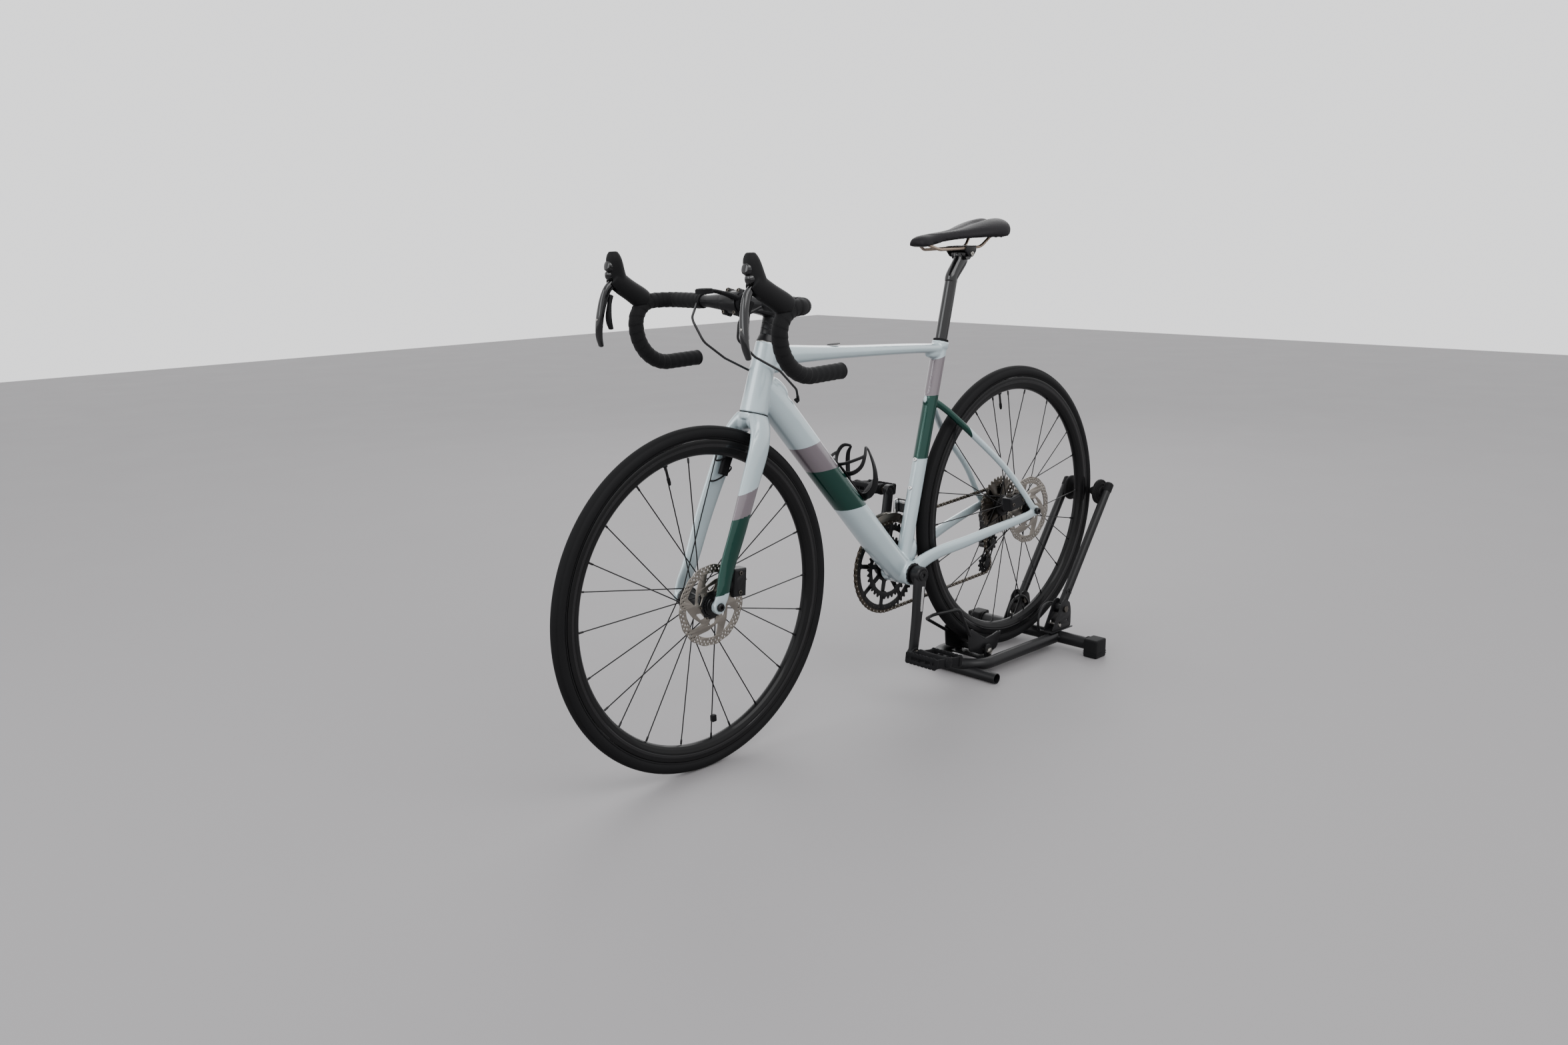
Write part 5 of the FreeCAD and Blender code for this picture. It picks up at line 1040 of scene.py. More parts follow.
def make_levers():
    """Curved gloss brake blades, each with a small steel knob on its front as a painted highlight for the
    glint on the blade, and a shift paddle behind each.
    """
    x, y, z = LEVER
    blade = [(bike(x, y, z), 5.6, 8), (bike(608, y + 1, 664), 6, 8.4), (bike(618, y + 3, 645), 7.4, 8),
             (bike(625, y + 6, 620), 8.4, 6.8), (bike(628.5, y + 9, 596), 8.8, 6),
             (bike(628.5, y + 11.5, 574), 8.2, 5.2), (bike(624.5, y + 13, 556), 6.4, 4)]
    paddle = [(bike(601, y + 2, 650), 3.6, 5), (bike(608, y - 0.5, 634), 4.6, 4),
              (bike(613.5, y - 3, 614), 8.6, 3), (bike(614, y - 4.4, 600), 9.2, 2.6),
              (bike(611.5, y - 5, 588), 7.4, 2.4)]
    for side, word in SIDES:
        group = Build().add(on_side(side, loft(blade, 32, 8, 2.4, dome=(3, 3))), "gloss_black")
        # painted highlight: a small steel knob on the blade's front stands in for the glint on the gloss
        # black blade
        group.add(on_side(side, knob(bike(631.5, y + 8, 606), AHEAD, 2.4, 3.4, 0.4, 16)), "steel")
        group.piece(f"brake_blade_{word}", f"brake_lever_{word}", "lever_black", [f"brake_lever_{word}"])
        group = Build().add(on_side(side, loft(paddle, 28, 8, 2.6, dome=(1.5, 2))), "matt_black")
        group.piece(f"paddle_{word}", f"shift_paddle_{word}", "lever_black", [f"shift_paddle_{word}"])


HOSE_RADIUS = 2.5
HOSE_BENDS = (18, 24, 40, 50, 24)
LEFT_HOSE = ((478, 92, 628), (512, 66, 608), (500, 46, 568), (452, 40, 530), (385, 36, 496), (330, 24, 452),
             (317, 15, 426))
RIGHT_HOSE = ((478, -92, 628), (516, -64, 604), (506, -44, 560), (458, -40, 524), (392, -36, 490),
              (336, -24, 450), (318, -15, 426))


def make_cables():
    """Hoses from under the tape to the ports on the down tube, each with a ferrule where it goes in."""
    group = Build()
    for route in (LEFT_HOSE, RIGHT_HOSE):
        line = bent([bike(*point) for point in route], HOSE_BENDS, 2.5)
        group.add(tube(line, HOSE_RADIUS, 16), "cable")
        inward = (line[-1] - line[-5]).normalized()
        group.add(tube([line[-1] - inward * 13 * MM, line[-1] - inward * 2 * MM], 3.1, 20), "anodised")
    hoses = group.piece("hoses", None, "cable_black", ["control_cables"])
    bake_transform(hoses)


def make_cockpit_small():
    """The computer mount and its ring, and the speed sensor with the bands that tie it to the fork."""
    carried("computer_mount", "matt_black", 0.5)
    group = Build()
    disc = bike(BAR[0] + 74, 0, BAR[2] + 30)
    seat_outline = [(9, -0.6), (15.6, -0.6), (15.6, 1.2), (11.5, 1.2), (11.5, 0.2), (9, 0.2)]
    group.add(turned(seat_outline, disc, UP, 48, bend=0.3), "matt_black")
    group.piece("mount_ring", "steering", "black_plastic")
    carried("speed_sensor", "matt_black", 0.4)
    group = Build()
    across = (AHEAD - UP * 0.42).normalized()
    for x, z in ((466, 338), (482, 300)):
        middle = bike(x, -43, z)
        loop = squared_oval(middle, across, LEFT, 27, 15.5, 0.8, 40)
        group.add(tube(loop, 1.3, 10, closed=True, flat=1.4), "rubber")
    group.piece("sensor_bands", "steering", "black_plastic")


def make_cockpit():
    make_headset_stack()
    make_stem()
    make_handlebar()
    make_hoods()
    make_levers()
    make_cables()
    make_cockpit_small()


# ---------------------------------------------------------------- seat
CLAMP = (-221, 0, 690)
POST_RADIUS = 13.6
POST_FOOT, POST_NECK = 370, 655
RAIL_POINTS = ((-84, 9, 713), (-118, 22, 698), (-178, 22, 697), (-262, 22, 697), (-310, 36, 738))


def make_seatpost():
    """A gloss carbon post that flares into its clamp head."""
    base = BRACKET + SEAT_UP * POST_FOOT * MM
    neck = BRACKET + SEAT_UP * POST_NECK * MM
    head = bike(*CLAMP)
    group = Build().add(tube([base, base.lerp(neck, 0.5), neck], POST_RADIUS, 64), "gloss_black")
    top = in_bike(neck)
    stations = [(neck - SEAT_UP * 4 * MM, POST_RADIUS, POST_RADIUS),
                (bike(top.x - 3, 0, top.z + 9), 13.4, 15), (bike(CLAMP[0] + 5, 0, CLAMP[2] - 22), 12.8, 18),
                (bike(*CLAMP[:2], CLAMP[2] - 9), 12.2, 20.5)]
    group.add(loft(stations, 56, 8, 2.2), "gloss_black")
    group.add(tube([head + (LEFT * y - UP * 8) * MM for y in (-20, 0, 20)], 11.4, 40), "gloss_black")
    group.piece("post", "seat", "carbon_black", ["seatpost"])


def make_rails():
    """The saddle's two bent rails, the clamp that holds them, and the clamp's ears and bolts."""
    group = Build()
    line = bent([bike(*point) for point in RAIL_POINTS], (30, 90, 30), 3)
    for side in (1, -1):
        group.add(on_side(side, tube(line, 3.5, 20)), "rail_tan")
    group.piece("rails", "seat", "rail_tan", ["saddle_rails"])
    carried("saddle_clamp", "satin_black", 1.2)
    group = Build()
    for side in (1, -1):
        ear = bike(CLAMP[0], side * 26.5, CLAMP[2] + 3)
        outline = [(-17, -3, 5), (-6, -15, 6), (6, -15, 6), (17, -3, 5), (17, 6, 4), (-17, 6, 4)]
        group.add(plate([rounded(outline, 4)], 4.2, ear, bevel=0.9), "satin_black")
        bolt = bike(CLAMP[0], side * 28.4, CLAMP[2] - 6)
        group.add(hexagon(bolt, LEFT * side, 4.8, 2.4, 3.6), "steel")
    group.piece("clamp_ears", "seat", "black_alloy")


def puffed(mesh, pressure, frames, cap):
    """Inflates a closed mesh a little as cloth, each point held to a small move, and returns the new mesh."""
    holder = bpy.data.objects.new("puffed", mesh)
    bpy.context.scene.collection.objects.link(holder)
    rest = np.array([v.co for v in mesh.vertices])
    cloth = holder.modifiers.new("Cloth", "CLOTH")
    cloth.settings.use_pressure = True
    cloth.settings.uniform_pressure_force = pressure
    cloth.settings.effector_weights.gravity = 0
    cloth.settings.tension_stiffness = 40
    scene = bpy.context.scene
    for step in range(1, frames + 1):
        scene.frame_set(step)
    result = bpy.data.meshes.new_from_object(holder.evaluated_get(bpy.context.evaluated_depsgraph_get()))
    scene.frame_set(1)
    moved = np.array([v.co for v in result.vertices])
    shift = moved - rest
    size = np.linalg.norm(shift, axis=1, keepdims=True)
    limited = rest + shift * np.minimum(1, cap * MM / np.maximum(size, 1e-9))
    result.vertices.foreach_set("co", limited.ravel())
    bpy.data.objects.remove(holder)
    return result


def make_saddle():
    """A padded cover on a moulded shell: crowned, with a shallow channel along the middle."""
    mesh = melted([node_shape("saddle")], voxel=3.6, rounds=4)
    mesh = puffed(mesh, pressure=3.0, frames=14, cap=2.2)
    shell = bmesh.new()
    shell.from_mesh(mesh)
    bmesh.ops.subdivide_edges(shell, edges=shell.edges[:], cuts=1, use_grid_fill=True, smooth=0.6)
    low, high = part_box("saddle")
    back = in_bike(low).x
    length = (high.x - low.x) / MM
    for vertex in shell.verts:
        place = in_bike(vertex.co)
        along = (place.x - back) / length
        width = 11 * (0.45 + 0.55 * (1 - along))
        nose_fade = max(0.0, min(1.0, (0.8 - along) * 5))
        tail_depth = 3.0 + 7.0 * max(0.0, 1 - along / 0.3)
        if vertex.normal.dot(UP) > 0.35:
            vertex.co -= UP * math.exp(-(place.y / width) ** 2) * nose_fade * tail_depth * MM
    for face in shell.faces:
        face.material_index = 1 if face.normal.dot(UP) < -0.45 else 0
        face.smooth = True
    bmesh.ops.smooth_vert(shell, verts=shell.verts, factor=0.4, use_axis_x=True, use_axis_y=True,
                          use_axis_z=True)
    shell.to_mesh(mesh)
    shell.free()
    skins = [MATERIALS["saddle"], MATERIALS["saddle_shell"]]
    cover = placed(mesh, "saddle_cover", skins, "seat", ["saddle"])


def make_seat():
    make_seatpost()
    make_rails()
    make_saddle()


# ---------------------------------------------------------------- brakes
CALIPERS = (("front", 152, 96, "steering"), ("rear", 27, -8, "bike_frame"))


def make_caliper(word, degrees, lean, body):
    """A two-piston caliper: rounded body, pad fins along its outside, its bolts and a cover plate."""
    name = f"{word}_caliper"
    axle, y = WHEELS[word]["axle"], WHEELS[word]["rotor_y"]
    outward, along = (AHEAD * x + UP * z for x, z in (polar(1, degrees), polar(1, lean)))
    around = LEFT.cross(outward)
    middle = axle + outward * 70 * MM + LEFT * y * MM
    soft_piece(name, "satin_black", body, 0.8, 6)
    group = Build()
    for step in range(9):
        place = middle + outward * 18 * MM + around * (step - 4) * 3.1 * MM
        group.add(brick(place, (1.1, 15, 10), around, outward, 0.35), "dark_steel")
    for reach in (-19, 19):
        group.add(hexagon(middle + along * reach * MM + LEFT * 15.6 * MM, LEFT, 4.3, 2, 3), "dark_steel")
    cover = [(-17, -9, 4), (15, -12, 4), (13, 13, 4), (5, 14, 3)]
    group.add(plate([rounded(cover, 4)], 3, middle + LEFT * 16 * MM, along, outward, 0.9), "anodised")
    group.piece(name + "_fins", body, "caliper_black")
    carried(f"{word}_pads", "pad_grey", 0.3)


# ---------------------------------------------------------------- drivetrain
CHAIN_Y = -44.0
CHAIN_PITCH = 12.7
LINK_END, LINK_THICK = 3.85, 0.8
OUTER_LINK, INNER_LINK = (2.35, 2.7), (1.5, 3.2)
RING_TEETH, SMALL_RING_TEETH, PULLEY_TEETH = 50, 34, 11
COGS = (34, 30, 27, 24, 21, 19, 17, 15, 13, 12, 11)
RIDDEN = 4
COG_STEP = 3.75
GUIDE = pivot("guide_pulley_spin")
TENSION = pivot("tension_pulley_spin")
CRANK_ALONG = pivot("pedal_spin_left") - BRACKET
CRANK_ALONG.y = 0
CRANK_ALONG.normalize()
CRANK_UP = CRANK_ALONG.cross(LEFT)
CRANK_LENGTH = 172.5
CRANK_ARM = ((0, 56, 8, 19), (30, 59.4, 8, 17.2), (90, 64, 7.5, 14), (150, 67, 7, 12.8), (174, 68, 6.6, 13))
SPIDER_ARMS = 8


def crank(x, y, z):
    return BRACKET + (CRANK_ALONG * x + LEFT * y + CRANK_UP * z) * MM


def pitch_radius(teeth):
    return CHAIN_PITCH / (2 * math.sin(math.pi / teeth))


def toothed(teeth, tip=2.3, root=3.9, start=0.0):
    """Outline of a sprocket: teeth above its pitch line, rounded seats for the rollers between."""
    radius = pitch_radius(teeth)
    step = 360 / teeth
    outline = []
    for tooth in range(teeth):
        base = start + tooth * step
        for share, height in ((-0.5, -root), (-0.37, -root * 0.86), (-0.26, -1.2), (-0.12, tip), (0.12, tip),
                              (0.26, -1.2), (0.37, -root * 0.86)):
            outline.append(polar(radius + height, base + share * step))
    return outline


def window(inner, outer, first, last, wall_in, wall_out, bend):
    """An opening between two spider arms, each arm's width given at its foot and its tip."""
    inset_in = math.degrees(math.asin(wall_in / inner))
    inset_out = math.degrees(math.asin(wall_out / outer))
    low, high = first + inset_in, last - inset_in
    points = [(*polar(outer, first + inset_out), bend)]
    span = last - first - 2 * inset_out
    points += [(*polar(outer, first + inset_out + span * step / 6), 0) for step in range(1, 6)]
    points += [(*polar(outer, last - inset_out), bend), (*polar(inner, high), bend * 0.6),
               (*polar(inner, (low + high) / 2), 0), (*polar(inner, low), bend * 0.6)]
    return rounded(points, bend)


def make_chainrings():
    """Big ring on eight arms, and a small ring on posts behind it; both toothed and pierced."""
    step = 360 / SPIDER_ARMS
    big = [toothed(RING_TEETH)]
    big += [window(31, 86, arm * step, (arm + 1) * step, 5.6, 4.6, 7) for arm in range(SPIDER_ARMS)]
    big.append(ring(19.6, 48))
    group = Build().add(plate(big, 2.6, crank(0, CHAIN_Y, 0), CRANK_ALONG, CRANK_UP, 0.3), "anodised")
    small = [toothed(SMALL_RING_TEETH), ring(55.5, 90)]
    group.add(plate(small, 2.2, crank(0, CHAIN_Y + 8, 0), CRANK_ALONG, CRANK_UP, 0.25), "anodised")
    for arm in range(SPIDER_ARMS):
        spot = polar(57.5, arm * step)
        post = crank(spot[0], CHAIN_Y + 1, spot[1])
        group.add(knob(post, LEFT, 4.6, 7.6, 0.5, 20), "anodised")
        if arm % 2 == 0:
            group.add(pin(post, LEFT, 5, -3.2, -1.2, 24, 0.4), "dark_steel")
    for index in range(30):
        spot = polar(91.5, index * 12 + 4)
        group.add(knob(crank(spot[0], CHAIN_Y + 1.2, spot[1]), LEFT, 1.2, 0.9, 0.2, 10), "dark_steel")
    group.piece("chainrings", "crank", "ring_black", ["chainrings"])


def make_crank_arms():
    """Forged arms with rounded edges, a pale strip on the left one's face, and the spindle's caps."""
    group = Build()
    group.add(sleeve(BRACKET, LEFT, 9, 11.9, -59, 59, 56), "steel")
    for side in (1, -1):
        arm = [(crank(side * x, side * y, 0), wide, high) for x, y, wide, high in CRANK_ARM]
        group.add(loft(arm, 48, 8, 3.2, dome=(0, 9)), "satin_black")
        boss = [(12.2, 41.6), (19, 41.6), (19.6, 47), (19.6, 62), (17.4, 65.2), (12.2, 65.2)]
        group.add(turned(sided(side, boss), BRACKET, count=64, bend=1.6), "satin_black")
        cap = [(0, 62, 0), (12.6, 62), (12.6, 64), (11.4, 67), (5.4, 67), (4.6, 63.4, 0), (0, 63.4, 0)]
        group.add(turned(sided(side, cap), BRACKET, count=64, closed=False, bend=0.7), "anodised")
        group.add(pin(BRACKET, LEFT, 4.5, side * 63.5, side * 64.2, 6, 0), "gloss_black")
        eye = crank(side * CRANK_LENGTH, side * 68, 0)
        eye_outline = [(7.1, -7.2), (13, -7.2), (13.6, -5), (13.6, 5), (13, 7.2), (7.1, 7.2)]
        group.add(turned(eye_outline, eye, count=56, bend=0.8), "satin_black")
        if side > 0:
            strip = [(crank(x, y, -4), 0.7, high)
                     for x, y, high in ((25, 67, 4), (52, 69.2, 4), (78, 71.1, 3.4))]
            group.add(loft(strip, 24, 4, 5, dome=(1, 1)), "silver")
    group.piece("crank_arms", "crank", "crank_black", ["crank_arms"])


def make_pedal(side, word):
    """A caged platform pedal: toothed plates with windows, cross ribs, a barrel and a rear reflector."""
    centre = pivot(f"pedal_spin_{word}")
    centre.y = 0
    lean = math.radians(8)
    along = Vector((math.cos(lean), 0, math.sin(lean)))
    up = Vector((-math.sin(lean), 0, math.cos(lean)))

    def at(x, y, z):
        return centre + (along * x + LEFT * side * y + up * z) * MM

    group = Build()
    group.add(pin(centre, LEFT, 6.8, side * 61.8, side * 76, 40), "dark_steel")
    flats = [(0, 76, 0), (9.2, 76), (9.2, 80), (7.4, 82), (7.4, 88), (0, 88, 0)]
    group.add(turned(sided(side, flats), centre, LEFT, 8, False, 0.4), "dark_steel")
    barrel = [(0, 86, 0), (12.6, 86), (13, 90), (11.4, 104), (11.4, 152), (13, 166), (12, 170),
              (6, 171.5, 0.5), (0, 171.5, 0)]
    group.add(turned(sided(side, barrel), centre, LEFT, 40, False, 1.2), "matt_black")
    top_edge = []
    for tooth in range(8):
        start = -42 + tooth * 10.5
        top_edge += [(start, 9.4), (start + 2.4, 12), (start + 7.4, 12), (start + 9.8, 9.4)]
    outline = top_edge + [(x, -z) for x, z in reversed(top_edge)]
    slots = [rounded([(a, 3.4), (a, -3.4), (b, -3.4), (b, 3.4)], 2) for a, b in ((-39, -32), (32, 39))]
    for sign in (1, -1):
        middle = at(sign * 44, 128, 0)
        opening = rounded([(-27, -4.6), (27, -4.6), (27, 4.6), (-27, 4.6)], 2)
        group.add(plate([outline] + slots + [opening], 5, middle, LEFT, up, 0.8), "matt_black")
        for y in (90, 166):
            group.add(brick(at(sign * 27, y, 0), (34, 5, 20), along, up, 1.6), "matt_black")
            group.add(brick(at(sign * 41, y, 0), (9, 9, 21), along, up, 2.4), "matt_black")
        for y in (118, 138):
            group.add(brick(at(sign * 27, y, 0), (33, 3.4, 12), along, up, 1.2), "matt_black")
    group.add(brick(at(-46.2, 128, 6.2), (2.8, 54, 5.4), along, up, 0.8), "amber")
    group.piece(f"pedal_{word}", f"pedal_{word}", "black_plastic", [f"pedal_{word}"])


def make_cassette():
    """Eleven cut sprockets: the large ones pierced, spacers between, and the lock ring outside."""
    group = Build()
    for index, teeth in enumerate(COGS):
        y = CHAIN_Y + (RIDDEN - index) * COG_STEP
        outlines = [toothed(teeth, start=index * 5.0), ring(17.2, 40)]
        radius = pitch_radius(teeth)
        if teeth > 22:
            outlines += [sector(26, radius - 9, start, start + 37, 2.5)
                         for start in range(12 + index * 8, 372 + index * 8, 60)]
            outlines += [ring(1.7, 8, polar(radius - 6.6, hole * 20 + 6)) for hole in range(18)]
        finish = "dark_steel" if index % 2 == 0 else "bronze"
        group.add(plate(outlines, 1.7, REAR_AXLE + LEFT * y * MM, bevel=0.2), finish)
    low = CHAIN_Y + (RIDDEN - len(COGS) + 1) * COG_STEP - 3
    core = [(6.4, low), (16, low), (17.4, low + 4), (17.4, -27), (6.4, -27)]
    group.add(turned(core, REAR_AXLE, count=56), "anodised")
    carrier = [(17, -60.6), (21.6, -60.6), (21.6, -31), (17, -31)]
    group.add(turned(carrier, REAR_AXLE, count=56, bend=0.8), "anodised")
    group.add(sleeve(REAR_AXLE, LEFT, 6.2, 9.8, -70.5, low, 40, 0.6), "anodised")
    lock = notched(16.4, 18, 24)
    group.add(plate([lock, ring(11, 40)], 2, REAR_AXLE + LEFT * (low - 0.6) * MM, bevel=0.4), "steel")
    group.piece("cassette", "cassette", "sprocket_steel", ["cassette"])


def tangent(first, second):
    """The straight run between two circles (centre, radius, sense), touching each on its travelling side."""
    (start, start_radius, start_sense), (end, end_radius, end_sense) = first, second
    run = end - start
    swing = math.asin((start_radius * start_sense - end_radius * end_sense) / run.length)
    normal = math.atan2(run.y, run.x) + swing - math.pi / 2
    unit = Vector((math.cos(normal), math.sin(normal)))
    return start + unit * (start_radius * start_sense), end + unit * (end_radius * end_sense)


def chain_path():
    """The chain's pitch line as close flat points about the bottom bracket, in millimetres."""
    places = [in_bike(point) for point in (BRACKET, REAR_AXLE, GUIDE, TENSION)]
    teeth_counts = (RING_TEETH, COGS[RIDDEN], PULLEY_TEETH, PULLEY_TEETH)
    wheels = [(Vector((place.x, place.z)), pitch_radius(teeth), sense)
              for place, teeth, sense in zip(places, teeth_counts, (1, 1, -1, 1))]
    runs = [tangent(wheels[index], wheels[(index + 1) % 4]) for index in range(4)]
    line = []
    for index, (centre, radius, sense) in enumerate(wheels):
        arrive, leave = runs[index - 1][1], runs[index][0]
        first = math.atan2(arrive.y - centre.y, arrive.x - centre.x)
        last = math.atan2(leave.y - centre.y, leave.x - centre.x)
        while (last - first) * sense < 0:
            last += 2 * math.pi * sense
        steps = max(int(abs(last - first) * radius / 0.5), 2)
        for step in range(steps):
            angle = first + (last - first) * step / steps
            line.append(centre + Vector((math.cos(angle), math.sin(angle))) * radius)
        length = (runs[index][1] - leave).length
        steps = int(length / 0.5)
        line.extend(leave.lerp(runs[index][1], step / steps) for step in range(steps))
    return line


def prism(outline, thick, centre, along, up):
    """A flat plate with square edges, quicker to build than plate()."""
    normal = along.cross(up)
    count = len(outline)
    vertices = []
    for shift in (-thick / 2, thick / 2):
        vertices.extend(centre + (along * x + up * y + normal * shift) * MM for x, y in outline)
    faces = [tuple(reversed(range(count))), tuple(range(count, 2 * count))]
    faces += [(step, (step + 1) % count, count + (step + 1) % count, count + step) for step in range(count)]
    return vertices, faces


def link_outline(pitch, end, waist):
    """Half a chain link's side plate from its front end to its waist, then the same half turned round."""
    half = [(pitch / 2 + end * math.cos(angle), end * math.sin(angle)) for angle in np.linspace(-1.9, 1.9, 9)]
    half.append((0, waist))
    return half + [(-x, -z) for x, z in half]


def make_chain():
    """Every link of the chain, inner and outer in turn, laid on the sprockets' pitch lines."""
    line = chain_path()
    lengths = [0.0]
    for before, after in zip(line, line[1:] + line[:1]):
        lengths.append(lengths[-1] + (after - before).length)
    count = round(lengths[-1] / CHAIN_PITCH / 2) * 2
    rows = np.array([tuple(point) for point in line + line[:1]])
    marks = np.linspace(0, lengths[-1], count, endpoint=False)
    pins = list(zip(np.interp(marks, lengths, rows[:, 0]), np.interp(marks, lengths, rows[:, 1])))
    group = Build()
    for index, (x, z) in enumerate(pins):
        after_x, after_z = pins[(index + 1) % count]
        along = (AHEAD * (after_x - x) + UP * (after_z - z)).normalized()
        up = along.cross(LEFT)
        middle = bike((x + after_x) / 2, CHAIN_Y, (z + after_z) / 2)
        length = math.hypot(after_x - x, after_z - z)
        away, waist = OUTER_LINK if index % 2 else INNER_LINK
        outline = link_outline(length, LINK_END, waist)
        for side in (1, -1):
            group.add(prism(outline, LINK_THICK, middle + LEFT * side * away * MM, along, up), "bronze")
        group.add(pin(bike(x, CHAIN_Y, z), LEFT, 1.7, -2.95, 2.95, 10, 0.2), "steel")
        group.add(sleeve(bike(x, CHAIN_Y, z), LEFT, 1.8, 3.8, -1.1, 1.1, 14, 0.2), "bronze")
    group.piece("chain", "bike_frame", "chain_steel", ["chain"])


def make_pulley(name, centre, body):
    """A toothed derailleur pulley with six holes and a steel bush."""
    group = Build()
    outlines = [toothed(PULLEY_TEETH, 1.9, 3.9), ring(7.2, 30)]
    outlines += [ring(2.3, 12, polar(12.2, hole * 60 + 30)) for hole in range(6)]
    middle = Vector((centre.x, 0, centre.z)) + LEFT * CHAIN_Y * MM
    group.add(plate(outlines, 2.4, middle, bevel=0.25), "matt_black")
    group.add(sleeve(middle, LEFT, 3.2, 7.6, -4.4, 4.4, 32, 0.4), "steel")
    group.piece(name, body, "black_plastic", [name])


def make_rear_derailleur():
    """Melted knuckles and links, a pierced pulley cage, pulleys, and pins that join them."""
    soft_piece("rd_b_knuckle", "gloss_black", "bike_frame", 0.9, 9)
    soft_piece("rd_outer_link", "satin_black", "rd_outer_link", 0.6, 5)
    soft_piece("rd_inner_link", "satin_black", "rd_inner_link", 0.6, 5)
    soft_piece("rd_p_knuckle", "gloss_black", "rd_p_knuckle", 0.7, 7)
    top = Vector((GUIDE.x, 0, GUIDE.z))
    low = Vector((TENSION.x, 0, TENSION.z))
    along = (low - top).normalized()
    up = along.cross(LEFT)
    length = (low - top).length / MM
    group = Build()
    for y, wide in ((CHAIN_Y - 7.4, 10), (CHAIN_Y + 7, 8.2)):
        outline = [polar(wide, angle) for angle in range(90, 271, 12)] + [(length * 0.5, -wide * 0.72)]
        outline += [(length + x, z) for x, z in (polar(wide, angle) for angle in range(-90, 91, 12))]
        outline += [(length * 0.5, wide * 0.72)]
        slot = rounded([(15, -3.2), (length - 15, -3.2), (length - 15, 3.2), (15, 3.2)], 3)
        group.add(plate([outline, slot], 1.9, top + LEFT * y * MM, along, up, 0.4), "anodised")
    for place in (top, low):
        group.add(pin(place, LEFT, 2.9, CHAIN_Y - 6.6, CHAIN_Y + 6.6, 20, 0.3), "steel")
        group.add(hexagon(place + LEFT * (CHAIN_Y - 8.4) * MM, -LEFT, 3.6, 1.4, 1.8), "dark_steel")
    group.piece("rd_cage", "rd_cage", "black_alloy", ["rd_cage"])
    make_pulley("rd_guide_pulley", GUIDE, "rd_guide_pulley")
    make_pulley("rd_tension_pulley", TENSION, "rd_tension_pulley")
    group = Build()
    hanger = REAR_AXLE + (AHEAD * 2 - UP * 33) * MM
    bolt = [(0, -87.5, 0), (6.4, -87.5), (8.6, -85.6), (8.6, -83.6), (0, -83.6, 0)]
    group.add(turned(bolt, hanger, count=36, closed=False), "silver")
    group.piece("derailleur_bolt", "bike_frame", "black_alloy")


def make_front_derailleur():
    """The mount melted on to the seat tube, and a cage of two curved steel plates over the chain."""
    soft_piece("fd_mount", "gloss_black", "bike_frame", 0.9, 7)
    group = Build()
    big = pitch_radius(RING_TEETH)
    outer_y, inner_y = CHAIN_Y - 8.1, CHAIN_Y + 7.5
    for y, finish in ((outer_y, "steel"), (inner_y, "dark_steel")):
        for low, high, first, last in ((8, 24, 62, 112), (6, 22, 111, 127)):
            side_plate = sector(big + low, big + high, first, last, 3, 10)
            group.add(plate([side_plate], 1.6, BRACKET + LEFT * y * MM, bevel=0.4), finish)
    middle = BRACKET + LEFT * (outer_y + inner_y) / 2 * MM
    for low, high, first, last, steps in ((20, 24, 96, 106, 4), (6, 10, 124, 127, 3)):
        bridge = sector(big + low, big + high, first, last, 3, steps)
        group.add(plate([bridge], inner_y - outer_y, middle, bevel=0.6), "steel")
    group.add(brick(bike(-36, -43, 136), (12, 6, 33), bevel=2), "silver")
    for z in (126, 147):
        group.add(pin(bike(-36, 0, z), LEFT, 4.2, -47.6, -45.6, 24, 0.4), "steel")
    group.piece("fd_cage", "fd_cage", "black_alloy", ["fd_cage"])
    group = Build()
    group.add(brick(bike(-50, -31, 146), (15, 20, 8), bevel=2.2), "silver")
    group.add(pin(bike(-52, -14, 134), LEFT, 6.8, -30, -22, 32, 1), "silver")
    group.piece("derailleur_arm", "bike_frame", "black_alloy")


def make_drivetrain():
    make_chainrings()
    make_crank_arms()
    for side, word in SIDES:
        make_pedal(side, word)
    make_cassette()
    make_chain()
    make_rear_derailleur()
    make_front_derailleur()


# ---------------------------------------------------------------- bottle cage
CAGE_START = bike(150, 0, 168)
CAGE_ALONG = (AHEAD * 134 + UP * 158).normalized()
CAGE_OUT = LEFT.cross(CAGE_ALONG) * -1
BOLT_PLACES = (20, 84)


CAGE_ARMS = (
    ((6, 8, 38.6, 11), (8, 34, 40, 9), (22, 66, 40, 7.2), (46, 94, 39.4, 6), (74, 122, 38.6, 4.6),
     (86, 142, 38.4, 2.4)),
    ((82, 6, 38.6, 7.6), (80, 34, 39, 5.6), (84, 66, 39.4, 4.8), (94, 96, 39, 4.6), (98, 124, 38.6, 4.2),
     (88, 143, 38.4, 2.6)),
    ((112, 5, 38.6, 4.4), (112, 30, 39, 3.8), (108, 60, 39.4, 3.6), (97, 92, 39, 3.4)))


def on_bottle(along, turn, radius):
    """A place on the bottle's side: distance up the tube, and degrees round from the spine to the left."""
    angle = math.radians(turn)
    outward = CAGE_OUT * -math.cos(angle) + LEFT * math.sin(angle)
    axis = CAGE_START + CAGE_OUT * 73.5 * MM + CAGE_ALONG * along * MM
    return axis + outward * radius * MM, outward


